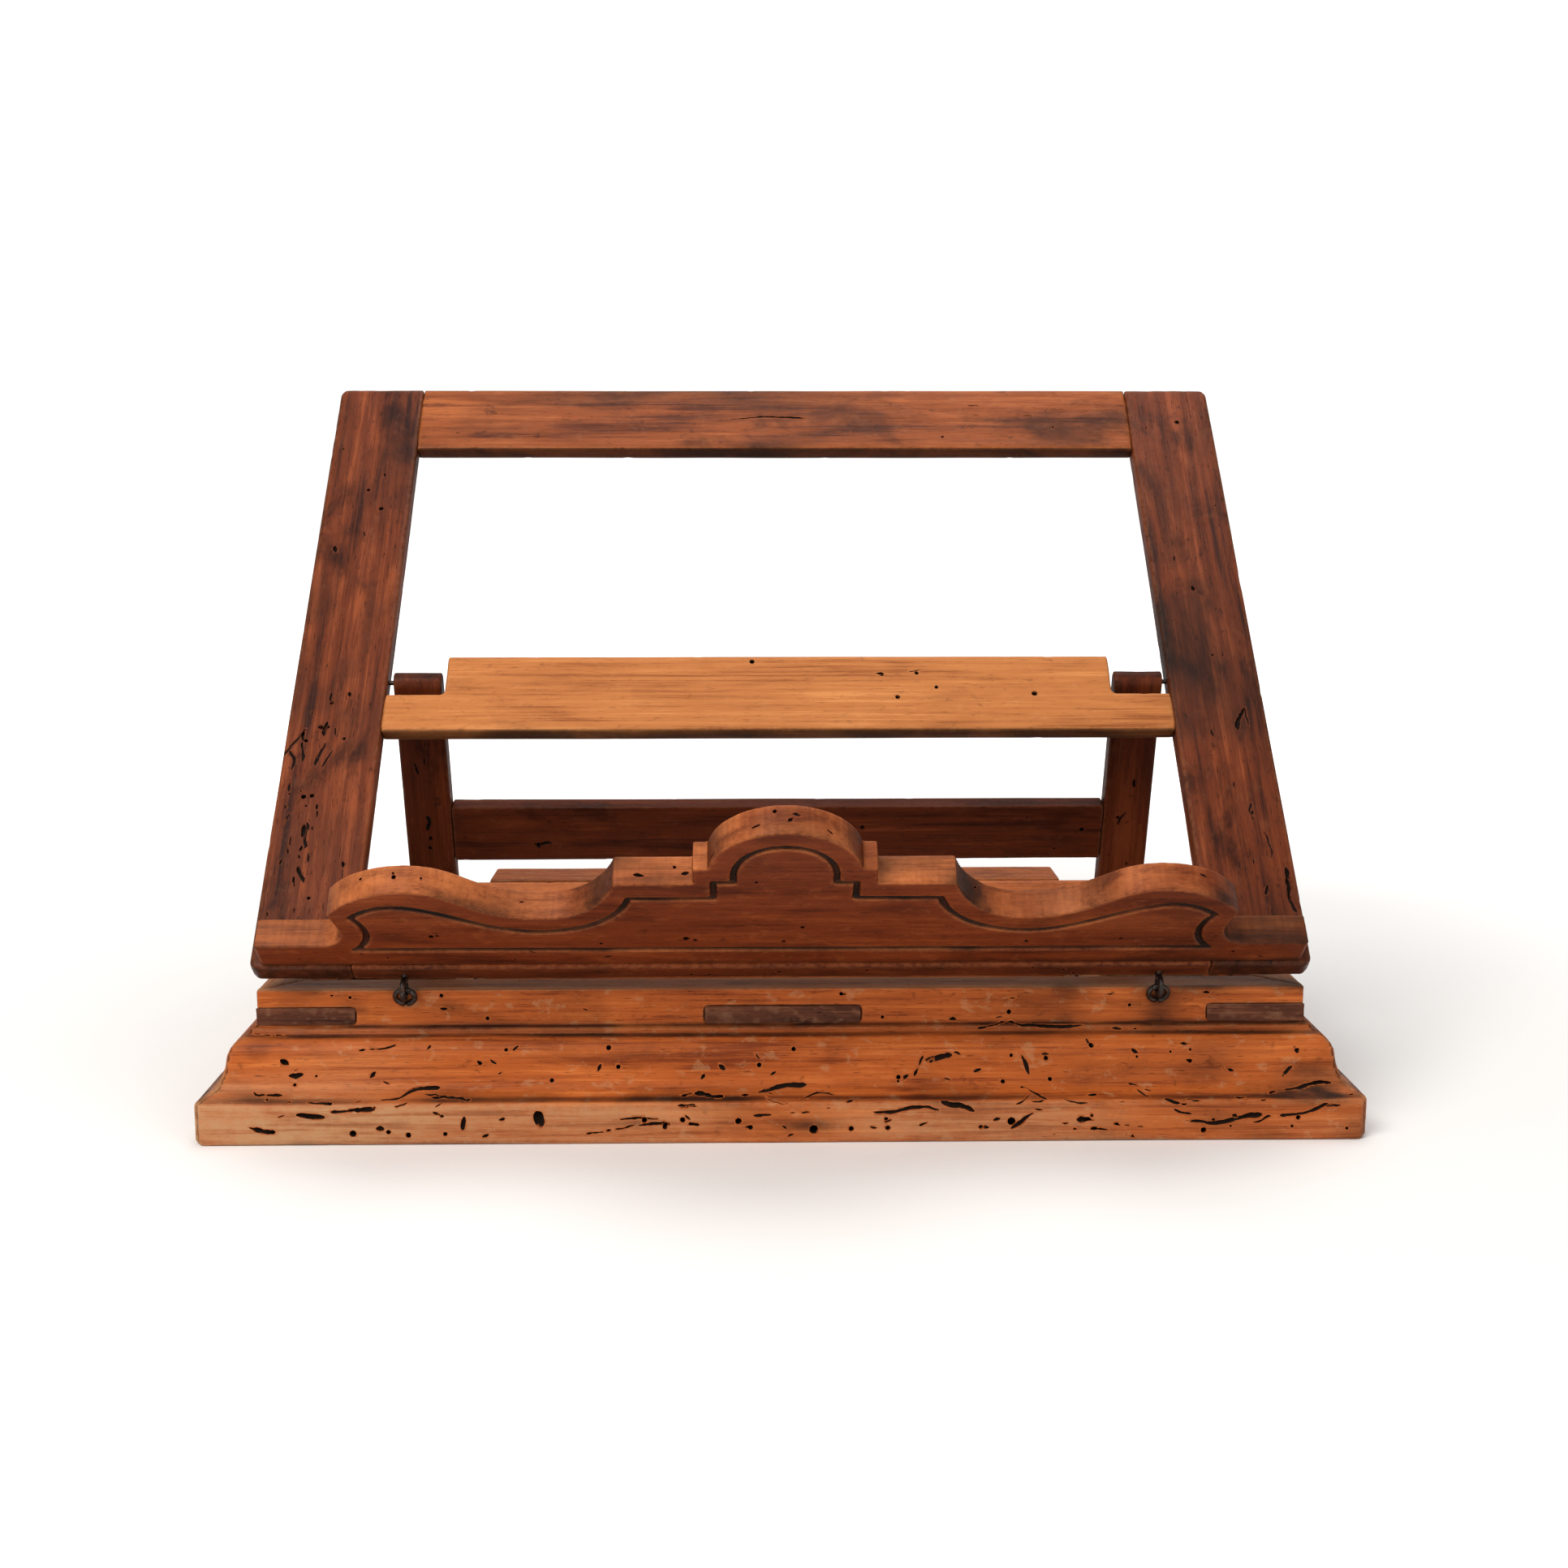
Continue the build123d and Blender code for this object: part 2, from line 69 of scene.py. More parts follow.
# The reading frame lies flat at the tilt joint's lower limit, and the strut lies in its plane there.
tilt = -math.radians(tilt_joint["range_deg"][0])
swing_per_tilt = frame["record"]["behaviour"]["couplings"][0]["ratio"]
strut_fold = -swing_per_tilt * tilt


def turned_about_x(axis_point, angle):
    """Matrix that turns about a line along X through a point."""
    return Matrix.Translation(axis_point) @ Matrix.Rotation(angle, 4, "X") @ Matrix.Translation(-axis_point)


# Each body's flat lie: a turn after which its boards run along X or Y and face up.
FLAT = {
    "base": Matrix.Identity(4),
    "reading_frame": turned_about_x(hinge_axis, -tilt),
    "strut": turned_about_x(pivot_axis, strut_fold - tilt),
}


# --- Numeric helpers ---------------------------------------------------------------------------

def lattice_value(cells, seed):
    """A repeatable value from -1 to 1 for each whole-number cell."""
    mixed = cells[:, 0] * 374761393 + cells[:, 1] * 668265263 + cells[:, 2] * 2147483647 + seed * 1274126177
    mixed = (mixed ^ (mixed >> 13)) * 1103515245
    mixed = (mixed ^ (mixed >> 16)) & 0xFFFFFF
    return mixed / float(0x7FFFFF) - 1.0


def smooth_noise(points, cell_size, seed):
    """Smooth noise from -1 to 1 at each point. cell_size is one length, or one for each axis."""
    scaled = points / np.asarray(cell_size, dtype=float)
    corner = np.floor(scaled).astype(np.int64)
    blend = scaled - corner
    blend = blend * blend * (3.0 - 2.0 * blend)
    total = np.zeros(len(points))
    for step_x in (0, 1):
        for step_y in (0, 1):
            for step_z in (0, 1):
                step = np.array((step_x, step_y, step_z))
                weight = np.prod(np.where(step == 1, blend, 1.0 - blend), axis=1)
                total += weight * lattice_value(corner + step, seed)
    return total


def ramp(values, low, high):
    """0 at low, 1 at high, smooth between; low may be above high."""
    share = np.clip((values - low) / (high - low), 0.0, 1.0)
    return share * share * (3.0 - 2.0 * share)


def read_points(mesh):
    """The mesh's vertices as an array of rows."""
    flat = np.empty(len(mesh.vertices) * 3)
    mesh.vertices.foreach_get("co", flat)
    return flat.reshape(-1, 3)


def write_points(mesh, points):
    """Moves the mesh's vertices."""
    mesh.vertices.foreach_set("co", points.ravel())
    mesh.update()


def read_normals(mesh):
    """The mesh's vertex normals as an array of rows."""
    flat = np.empty(len(mesh.vertices) * 3, dtype=np.float32)
    mesh.vertex_normals.foreach_get("vector", flat)
    return flat.reshape(-1, 3).astype(float)


def write_vectors(mesh, name, rows):
    """Stores one vector for each vertex under a name that materials read."""
    layer = mesh.attributes.get(name) or mesh.attributes.new(name, "FLOAT_VECTOR", "POINT")
    layer.data.foreach_set("vector", np.ascontiguousarray(rows, dtype=np.float32).ravel())


def new_object(name, mesh):
    """Links a mesh to the scene as an object."""
    piece = bpy.data.objects.new(name, mesh)
    bpy.context.scene.collection.objects.link(piece)
    return piece


def apply_modifiers(piece):
    """Replaces the object's mesh by its evaluated mesh and drops the modifiers."""
    graph = bpy.context.evaluated_depsgraph_get()
    made = bpy.data.meshes.new_from_object(piece.evaluated_get(graph))
    old = piece.data
    piece.modifiers.clear()
    piece.data = made
    bpy.data.meshes.remove(old)


def stand_for(piece, node):
    """Shows the piece in place of a CAD node, on that node's body."""
    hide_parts(node)
    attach(piece, body_of_node[node])


# --- Tubes -------------------------------------------------------------------------------------

def tube_ring(middle, sideways, other, radius, sides):
    """Points of a ring round middle, in the plane of two directions."""
    angles = [2 * math.pi * side / sides for side in range(sides)]
    return [middle + (sideways * math.cos(angle) + other * math.sin(angle)) * radius for angle in angles]


def close_tube(points, faces, first, path, tips):
    """Adds faces between the rings that start at point number first, one for each point of path, and
    a pointed end past each end of the path. tips holds the two points' distances beyond it."""
    rings = len(path)
    sides = (len(points) - first) // rings
    for ring in range(rings - 1):
        for side in range(sides):
            a = first + ring * sides + side
            b = first + ring * sides + (side + 1) % sides
            faces.append((a, b, b + sides, a + sides))
    for ring, turn, tip in ((0, -1, tips[0]), (rings - 1, 1, tips[1])):
        outward = (path[ring] - path[ring - turn]).normalized()
        points.append(path[ring] + outward * tip)
        for side in range(sides):
            a = first + ring * sides + side
            b = first + ring * sides + (side + 1) % sides
            faces.append((a, b, len(points) - 1) if turn > 0 else (b, a, len(points) - 1))


# --- Woodworm ----------------------------------------------------------------------------------

# Ways to look at a board in its flat lie: into the wood, along the board and across it.
FRONT = ((0, 1, 0), (1, 0, 0), (0, 0, 1))
BACK = ((0, -1, 0), (1, 0, 0), (0, 0, 1))
TOP = ((0, 0, -1), (1, 0, 0), (0, 1, 0))
BELOW = ((0, 0, 1), (1, 0, 0), (0, 1, 0))
TOP_LENGTHWISE = ((0, 0, -1), (0, 1, 0), (1, 0, 0))
BELOW_LENGTHWISE = ((0, 0, 1), (0, 1, 0), (1, 0, 0))


class Cutter:
    """Collects closed tubes that are cut out of one board, in layers within which no two tubes
    touch. The surface is found by looking into the wood from outside, at a along the board and b
    across it, in millimetres."""

    most_layers = 3

    def __init__(self, mesh, view, seed):
        self.tree = BVHTree.FromPolygons(
            [vertex.co.copy() for vertex in mesh.vertices], [tuple(face.vertices) for face in mesh.polygons]
        )
        self.into_wood, self.along, self.across = [Vector(direction) for direction in view]
        self.dice = random.Random(seed)
        self.layers = []

    def layer_for(self, path, reach):
        """Points and faces of the first layer where the path's tube touches no other, or None."""
        rows = np.array(path)
        low, high = rows.min(axis=0) - reach, rows.max(axis=0) + reach
        for points, faces, boxes in self.layers:
            if all(np.any(low > box_high) or np.any(high < box_low) for box_low, box_high in boxes):
                boxes.append((low, high))
                return points, faces
        if len(self.layers) == self.most_layers:
            return None
        self.layers.append(([], [], [(low, high)]))
        return self.layers[-1][:2]

    def surface(self, a, b):
        """Point on the board's surface at a along and b across, and its normal, or None."""
        far = 0.5
        start = self.along * (a * MM) + self.across * (b * MM) - self.into_wood * far
        hit, normal, _, _ = self.tree.ray_cast(start, self.into_wood)
        return None if hit is None else (hit, normal)

    def tube(self, path, radii, sides=7):
        """Adds a closed tube through the path's points, pointed at both ends, if there is room."""
        layer = self.layer_for(path, 2.2 * max(radii))
        if layer is None:
            return
        points, faces = layer
        first = len(points)
        for index, (middle, radius) in enumerate(zip(path, radii)):
            before = path[max(index - 1, 0)]
            after = path[min(index + 1, len(path) - 1)]
            heading = (after - before).normalized()
            sideways = heading.orthogonal().normalized()
            points.extend(tube_ring(middle, sideways, heading.cross(sideways), radius, sides))
        close_tube(points, faces, first, path, (radii[0], radii[-1]))

    def hole(self, a, b, radius, depth=5):
        """Adds a round flight hole, leaning a little."""
        found = self.surface(a, b)
        if found is None:
            return
        mouth, normal = found
        lean = Vector([self.dice.uniform(-0.3, 0.3) for _ in range(3)])
        inward = (-normal + lean).normalized()
        path = [mouth + inward * depth * MM * share for share in (-0.3, 0.0, 0.35, 0.7, 1.0)]
        self.tube(path, [radius * MM * self.dice.uniform(0.85, 1.1) for _ in path])

    def channel(self, a, b, heading, length, radius, wander=0.2):
        """Adds an open gallery over the surface from a, b. It keeps near its first heading, where 0
        runs along, widens and narrows, and dives under the surface here and there."""
        step = 1.1
        first_heading = heading
        width = self.dice.uniform(0.6, 1.0)
        sinking = self.dice.uniform(0.1, 0.5)
        path = []
        radii = []
        for _ in range(max(3, int(length / step))):
            found = self.surface(a, b)
            if found is None:
                break
            path.append(found[0] - found[1] * radius * MM * sinking)
            radii.append(radius * MM * width)
            heading += self.dice.gauss(0, wander) + (first_heading - heading) * 0.25
            width = min(max(width + self.dice.gauss(0, 0.18), 0.45), 1.25)
            sinking = min(max(sinking + self.dice.gauss(0, 0.22), -0.1), 1.15)
            a += math.cos(heading) * step
            b += math.sin(heading) * step
        if len(path) < 3:
            return
        radii[0] *= 0.5
        radii[-1] *= 0.5
        self.tube(path, radii)

    def scatter(self, region, count, longest, radius=0.7, slant=0.2, hole_share=0.4):
        """Adds random holes and galleries inside region = (a_low, a_high, b_low, b_high)."""
        a_low, a_high, b_low, b_high = region
        for _ in range(count):
            a = self.dice.uniform(a_low, a_high)
            b = self.dice.uniform(b_low, b_high)
            size = radius * self.dice.uniform(0.6, 1.5)
            if self.dice.random() < hole_share:
                self.hole(a, b, size)
            else:
                heading = self.dice.gauss(0, slant) + (math.pi if self.dice.random() < 0.5 else 0.0)
                length = longest * self.dice.uniform(0.15, 1.0) ** 1.5
                self.channel(a, b, heading, max(length, 2.5), size)

    def clusters(self, groups, b_low, b_high, slant, hole_share):
        """Scatters groups, each given as a_low, a_high, count and longest gallery."""
        for a_low, a_high, count, longest in groups:
            self.scatter((a_low, a_high, b_low, b_high), count, longest, 0.75, slant, hole_share)

    def holes(self, places, b_start=0.0, depth=5):
        """Adds chosen flight holes, each given as a, b past b_start, and radius."""
        for a, b, radius in places:
            self.hole(a, b_start + b, radius, depth)

    def galleries(self, places):
        """Adds chosen galleries, each given as a, b, length, slope and radius."""
        for a, b, length, slope, radius in places:
            self.channel(a, b, slope, length, radius, wander=0.10)

    def meshes(self):
        """Each layer's tubes as one mesh, marked as bored wood."""
        for points, faces, _ in self.layers:
            made = bpy.data.meshes.new("worm")
            made.from_pydata(points, [], faces)
            made.update()
            count = len(made.vertices)
            write_vectors(made, "grain", read_points(made))
            write_vectors(made, "wear", np.zeros((count, 3)))
            write_vectors(made, "tone", np.tile((0.0, 0.0, 1.0), (count, 1)))
            yield made


def cut_out(piece, cutters):
    """Cuts the collected tubes out of the piece."""
    for cutter in cutters:
        for mesh in cutter.meshes():
            tool = new_object("worm", mesh)
            step = piece.modifiers.new("worm", "BOOLEAN")
            step.operation = "DIFFERENCE"
            step.solver = "MANIFOLD"
            step.object = tool
            apply_modifiers(piece)
            bpy.data.objects.remove(tool)


# --- Worn boards -------------------------------------------------------------------------------

def nothing(points, normals):
    """A tone that is zero everywhere."""
    return np.zeros(len(points))


def remeshed_copy(node, flat, pitch):
    """A copy of a CAD board, turned into its flat lie, with evenly spaced points."""
    mesh = frame["nodes"][node].data.copy()
    mesh.transform(flat @ frame["nodes"][node].matrix_world)
    piece = new_object(node + "_worn", mesh)
    weld = piece.modifiers.new("weld", "WELD")
    weld.merge_threshold = 0.001 * MM
    remesh = piece.modifiers.new("remesh", "REMESH")
    remesh.mode = "VOXEL"
    remesh.voxel_size = pitch * MM
    apply_modifiers(piece)
    return piece


def softened(piece, rounding, pitch):
    """Rounds the piece's edges. Returns its points in millimetres, and each point's share of edge and
    of cavity, told from how far rounding has moved it in or out."""
    sharp = read_points(piece.data) / MM
    normals = read_normals(piece.data)
    smooth = piece.modifiers.new("smooth", "SMOOTH")
    smooth.factor = 0.5
    smooth.iterations = rounding
    apply_modifiers(piece)
    points = read_points(piece.data) / MM
    inward = np.einsum("ij,ij->i", sharp - points, normals) / pitch
    return points, np.clip(inward * 2.4, 0, 1), np.clip(-inward * 1.6, 0, 1)


def plane_marks(points, grain, unevenness, edge, seed):
    """How far hand planing, the grain's relief and bruised edges lift each point, in millimetres."""
    stretch = np.array((9.0, 9.0, 9.0))
    stretch[grain] = 60.0
    waves = smooth_noise(points, stretch, seed) + 0.5 * smooth_noise(points, stretch * 0.4, seed + 1)
    fine = np.array((1.6, 1.6, 1.6))
    fine[grain] = 22.0
    relief = smooth_noise(points, fine, seed + 2)
    bruise = ramp(smooth_noise(points, 5, seed + 3), 0.45, 0.9) * edge
    return waves * unevenness + relief * 0.035 - bruise * 0.7


def worn_board(node, grain, material, pitch=0.9, rounding=5, unevenness=0.12, pale=nothing, dirt_and_shade=nothing,
               worms=None, shape=None, seed=1):
    """Makes the visible piece that stands for a CAD board.

    grain is 0 if the grain runs along X, 1 along Y and 2 along Z in the body's flat lie. pitch is the
    mesh spacing and unevenness the depth of the hand-planed waves. pale and dirt give each point's
    share of paler wood, from bleaching, dust and painted sheen, and of darker wood, from grime and
    painted shade. worms returns the cutters, and shape may move points. All of
    them take lengths and points in millimetres."""
    flat = FLAT[body_of_node[node]]
    piece = remeshed_copy(node, flat, pitch)
    sharp = read_points(piece.data) / MM
    normals = read_normals(piece.data)
    points, edge, cavity = softened(piece, rounding, pitch)
    if shape is not None:
        points = shape(points, sharp)
    points = points + normals * plane_marks(points, grain, unevenness, edge, seed)[:, None]
    write_points(piece.data, points * MM)

    along = [grain, (grain + 1) % 3, (grain + 2) % 3]
    offset = np.array((0.137, 0.071, 0.053)) * seed
    write_vectors(piece.data, "grain", points[:, along] * MM + offset)
    end = ramp(np.abs(normals[:, grain]), 0.6, 0.9)
    write_vectors(piece.data, "wear", np.stack((edge, cavity, end), axis=1))
    tones = np.stack((pale(points, normals), dirt_and_shade(points, normals), np.zeros(len(points))), axis=1)
    write_vectors(piece.data, "tone", tones)
    if worms is not None:
        cut_out(piece, worms(piece.data))

    mesh = piece.data
    mesh.transform(flat.inverted())
    mesh.polygons.foreach_set("use_smooth", [True] * len(mesh.polygons))
    mesh.set_sharp_from_angle(angle=math.radians(55))
    mesh.materials.clear()
    mesh.materials.append(material)
    stand_for(piece, node)


# --- Materials ---------------------------------------------------------------------------------

# Colours are linear red, green and blue.
# Near-black used for grime and for painted shade: shaded edges, the gap under the frieze and the inside of the
# worm bores.
GRIME_AND_SHADE = (0.012, 0.006, 0.004)
# Near-black for concave corners: grime together with painted shade.
CORNER_GRIME_AND_SHADE = (0.010, 0.005, 0.003)
WAX_SHINE = 0.10


class Nodes:
    """Short forms for building one material's node tree. A value may be an output or a number."""

    def __init__(self, name):
        self.material = bpy.data.materials.new(name)
        self.material.use_nodes = True
        self.tree = self.material.node_tree
        self.shader = self.tree.nodes["Principled BSDF"]

    def make(self, kind, **settings):
        """A new node with the settings given."""
        node = self.tree.nodes.new(kind)
        for name, value in settings.items():
            setattr(node, name, value)
        return node

    def link(self, source, target):
        """Connects an output to an input, or sets the input to a plain value."""
        if isinstance(source, bpy.types.NodeSocket):
            self.tree.links.new(source, target)
        else:
            target.default_value = source

    def vector(self, name):
        """The stored vector of that name."""
        return self.make("ShaderNodeAttribute", attribute_name=name).outputs["Vector"]

    def parts(self, vector):
        """The three numbers of a vector."""
        split = self.make("ShaderNodeSeparateXYZ")
        self.link(vector, split.inputs[0])
        return split.outputs[0], split.outputs[1], split.outputs[2]

    def maths(self, operation, a, b=0.0, clamp=False):
        """The result of a sum on two values, held between 0 and 1 if clamp is set."""
        node = self.make("ShaderNodeMath", operation=operation, use_clamp=clamp)
        self.link(a, node.inputs[0])
        self.link(b, node.inputs[1])
        return node.outputs[0]

    def times(self, a, b, clamp=False):
        """The product of two values."""
        return self.maths("MULTIPLY", a, b, clamp)

    def spread(self, vector, millimetres):
        """The vector measured in lengths given for each of its axes."""
        node = self.make("ShaderNodeVectorMath", operation="MULTIPLY")
        self.link(vector, node.inputs[0])
        node.inputs[1].default_value = [1.0 / (length * MM) for length in millimetres]
        return node.outputs[0]

    def noise(self, vector, detail=3.0, roughness=0.5, distortion=0.0):
        """Noise from 0 to 1 with features about one unit of the vector in size."""
        node = self.make("ShaderNodeTexNoise")
        self.link(vector, node.inputs["Vector"])
        node.inputs["Scale"].default_value = 1.0
        node.inputs["Detail"].default_value = detail
        node.inputs["Roughness"].default_value = roughness
        node.inputs["Distortion"].default_value = distortion
        return node.outputs["Fac"]

    def between(self, value, low, high, to_low=0.0, to_high=1.0):
        """The value's share of the way from low to high, smoothed, then scaled to the two ends."""
        node = self.make("ShaderNodeMapRange", interpolation_type="SMOOTHSTEP")
        self.link(value, node.inputs["Value"])
        node.inputs["From Min"].default_value = low
        node.inputs["From Max"].default_value = high
        node.inputs["To Min"].default_value = to_low
        node.inputs["To Max"].default_value = to_high
        return node.outputs["Result"]

    def mix(self, share, a, b, blend="MIX"):
        """Colour a turned into colour b by a share."""
        node = self.make("ShaderNodeMix", data_type="RGBA", blend_type=blend)
        self.link(share, node.inputs[0])
        for value, socket in ((a, node.inputs[6]), (b, node.inputs[7])):
            self.link(value if isinstance(value, bpy.types.NodeSocket) else (*value, 1.0), socket)
        return node.outputs[2]

    def bump(self, height, distance, strength, below=None):
        """Adds fine relief to a normal."""
        node = self.make("ShaderNodeBump")
        self.link(height, node.inputs["Height"])
        node.inputs["Distance"].default_value = distance
        node.inputs["Strength"].default_value = strength
        if below is not None:
            self.link(below, node.inputs["Normal"])
        return node.outputs["Normal"]


def darker(colour, share):
    """The colour at a share of its strength."""
    return [channel * share for channel in colour]


def aged(make, colour, dark, worn, not_dark, clouds, rubbed):
    """The colour with bleached and rubbed wood and painted sheen, end grain, grime and painted shade, concave
    corners darkened by grime together with painted shade, and painted shade inside the worm bores.
    """
    edge, cavity, end = make.parts(make.vector("wear"))
    pale, dirt_and_shade, bored = make.parts(make.vector("tone"))
    # Paler wood: bleaching and dust, with painted sheen on the upward faces of the base top and the ledge.
    pale_share = make.times(pale, make.between(rubbed, 0.30, 0.62, 0.7, 1.0))
    colour = make.mix(make.times(pale_share, not_dark), colour, worn)
    rub_share = make.times(edge, make.between(rubbed, 0.36, 0.60), True)
    colour = make.mix(make.times(rub_share, 0.85), colour, worn)
    colour = make.mix(make.times(end, 0.55), colour, darker(dark, 0.35))
    # Darker wood: grime, with painted shade on edges turned down from the light, in the gap under the frieze and
    # at the ledge's foot.
    grime_and_shade_share = make.times(dirt_and_shade, make.between(clouds, 0.25, 0.62, 0.55, 1.0))
    colour = make.mix(grime_and_shade_share, colour, GRIME_AND_SHADE)
    # Concave corners are darkened: grime together with painted shade.
    colour = make.mix(make.times(cavity, 0.8, True), colour, CORNER_GRIME_AND_SHADE)
    # Painted shade: the worm bores are painted near-black inside.
    return make.mix(bored, colour, GRIME_AND_SHADE)


def waxed(make, gloss, rubbed, fibres, pored):
    """Sets the sheen of old wax, dull in pores, corners and bores, and the surface's fine relief."""
    cavity = make.parts(make.vector("wear"))[1]
    bored = make.parts(make.vector("tone"))[2]
    rough = make.between(rubbed, 0.25, 0.75, gloss - 0.08, gloss + 0.14)
    rough = make.maths("ADD", rough, make.times(pored, 0.2))
    dull = make.times(make.maths("MAXIMUM", bored, cavity), 0.5)
    make.link(make.maths("ADD", rough, dull, True), make.shader.inputs["Roughness"])
    make.shader.inputs["Specular IOR Level"].default_value = WAX_SHINE
    normal = make.bump(fibres, 0.10 * MM, 0.55)
    normal = make.bump(make.maths("SUBTRACT", 1.0, pored), 0.16 * MM, 0.6, normal)
    normal = make.bump(rubbed, 0.12 * MM, 0.35, normal)
    make.link(normal, make.shader.inputs["Normal"])


def wood(name, light, middle, dark, worn, stain, streak, gloss, ring, pore, mottle=0.2):
    """Old waxed wood. light, middle and dark are the grain's colours and worn is the bare arris.
    stain, streak, pore and mottle are how strong the dark clouds, the grain lines, the pores and the
    bare spots are, gloss is the roughness, and ring is the grain lines' spacing in millimetres."""
    make = Nodes(name)
    grain = make.vector("grain")
    figure = make.noise(make.spread(grain, (70, 11, 11)), 4, 0.55, 0.8)
    lines = make.noise(make.spread(grain, (95, ring, ring)), 6, 0.62, 0.35)
    fibres = make.noise(make.spread(grain, (16, 0.42, 0.42)), 4, 0.7, 0.1)
    pores = make.noise(make.spread(grain, (4.5, 0.38, 0.38)), 2, 0.5)
    clouds = make.noise(make.spread(grain, (42, 22, 22)), 5, 0.6, 0.5)
    spots = make.noise(make.spread(grain, (7, 4.5, 4.5)), 5, 0.65, 0.3)
    rubbed = make.noise(make.spread(grain, (2.4, 2.0, 2.0)), 4, 0.7)

    tone = make.times(figure, 0.9)
    tone = make.maths("ADD", tone, make.times(lines, streak * 1.5))
    tone = make.maths("ADD", tone, make.times(fibres, 0.5))
    middle_of_tone = 0.45 + 0.75 * streak + 0.25
    spread_of_tone = 0.20 + 0.14 * streak
    colour = make.mix(make.between(tone, middle_of_tone - spread_of_tone, middle_of_tone), dark, middle)
    colour = make.mix(make.between(tone, middle_of_tone, middle_of_tone + spread_of_tone), colour, light)

    stained = make.times(make.between(clouds, 0.50, 0.70), stain)
    colour = make.mix(stained, colour, darker(dark, 0.32))
    spotted = make.times(make.between(spots, 0.60, 0.72), 0.35 + 0.4 * stain)
    colour = make.mix(spotted, colour, darker(dark, 0.45))
    pored = make.times(make.between(pores, 0.62, 0.74), pore)
    colour = make.mix(pored, colour, darker(dark, 0.25))

    mottled = make.times(make.between(spots, 0.44, 0.34), mottle)
    colour = make.mix(mottled, colour, worn)
    not_dark = make.between(tone, middle_of_tone - 0.16, middle_of_tone + 0.08, 0.45, 1.0)
    colour = aged(make, colour, dark, worn, not_dark, clouds, rubbed)
    make.link(colour, make.shader.inputs["Base Color"])
    waxed(make, gloss, rubbed, fibres, pored)
    return make.material


def iron(name):
    """Dark wrought wire, lighter and smoother in patches, with pitted relief and spots of rust."""
    make = Nodes(name)
    place = make.make("ShaderNodeTexCoord").outputs["Object"]
    pits = make.noise(make.spread(place, (0.9, 0.9, 0.9)), 5, 0.65)
    rust = make.noise(make.spread(place, (3.0, 3.0, 3.0)), 4, 0.6)
    colour = make.mix(make.between(pits, 0.35, 0.65), (0.020, 0.015, 0.013), (0.075, 0.060, 0.052))
    colour = make.mix(make.between(rust, 0.52, 0.68, 0.0, 0.7), colour, (0.10, 0.035, 0.014))
    make.link(colour, make.shader.inputs["Base Color"])
    make.link(make.between(pits, 0.3, 0.7, 0.55, 0.30), make.shader.inputs["Roughness"])
    make.shader.inputs["Metallic"].default_value = 0.85
    make.link(make.bump(pits, 0.12 * MM, 0.8), make.shader.inputs["Normal"])
    return make.material


BASE_WOOD = wood("base_wood", (0.60, 0.165, 0.036), (0.42, 0.094, 0.018), (0.18, 0.032, 0.007),
                 (0.48, 0.25, 0.12), stain=0.35, streak=0.65, gloss=0.42, ring=1.8, pore=0.6, mottle=0.35)
SIDE_WOOD = wood("side_wood", (0.50, 0.145, 0.034), (0.34, 0.083, 0.019), (0.14, 0.030, 0.008),
                 (0.46, 0.25, 0.12), stain=0.45, streak=0.65, gloss=0.46, ring=2.0, pore=0.6)
PLAIN_WOOD = wood("plain_wood", (0.34, 0.17, 0.075), (0.24, 0.11, 0.045), (0.12, 0.05, 0.022),
                  (0.40, 0.24, 0.13), stain=0.4, streak=0.6, gloss=0.7, ring=3.0, pore=0.4)
PATCH_WOOD = wood("patch_wood", (0.200, 0.070, 0.035), (0.095, 0.030, 0.015), (0.030, 0.010, 0.006),
                  (0.22, 0.10, 0.055), stain=0.6, streak=0.5, gloss=0.5, ring=0.9, pore=0.9, mottle=0.3)
STILE_WOOD = wood("stile_wood", (0.240, 0.055, 0.017), (0.125, 0.026, 0.008), (0.034, 0.008, 0.004),
                  (0.26, 0.10, 0.045), stain=0.80, streak=0.80, gloss=0.36, ring=3.4, pore=0.8, mottle=0.1)
RAIL_WOOD = wood("rail_wood", (0.380, 0.105, 0.029), (0.240, 0.058, 0.015), (0.080, 0.018, 0.006),
                 (0.38, 0.16, 0.065), stain=0.65, streak=0.6, gloss=0.38, ring=2.8, pore=0.6, mottle=0.1)
HONEY_WOOD = wood("honey_wood", (0.58, 0.225, 0.068), (0.45, 0.155, 0.043), (0.26, 0.074, 0.019),
                  (0.58, 0.28, 0.11), stain=0.18, streak=0.70, gloss=0.44, ring=1.5, pore=0.5, mottle=0.1)
LEDGE_WOOD = wood("ledge_wood", (0.230, 0.048, 0.012), (0.155, 0.028, 0.007), (0.070, 0.012, 0.004),
                  (0.54, 0.165, 0.05), stain=0.45, streak=0.40, gloss=0.40, ring=3.0, pore=0.55, mottle=0.1)
# The strut's wood is painted darker for the shade it stands in under the reading frame.
SHADED_STRUT_WOOD = wood("strut_wood", (0.165, 0.035, 0.010), (0.095, 0.018, 0.005), (0.034, 0.007, 0.003),
                  (0.20, 0.075, 0.03), stain=0.6, streak=0.55, gloss=0.42, ring=3.0, pore=0.5, mottle=0.1)
IRON = iron("iron")


# --- Places on the object ----------------------------------------------------------------------

def flat_box(node):
    """Lowest and highest corner of a CAD node in its body's flat lie, in millimetres."""
    item = frame["nodes"][node]
    turn = FLAT[body_of_node[node]] @ item.matrix_world
    corners = np.array([turn @ vertex.co for vertex in item.data.vertices]) / MM
    return corners.min(axis=0), corners.max(axis=0)


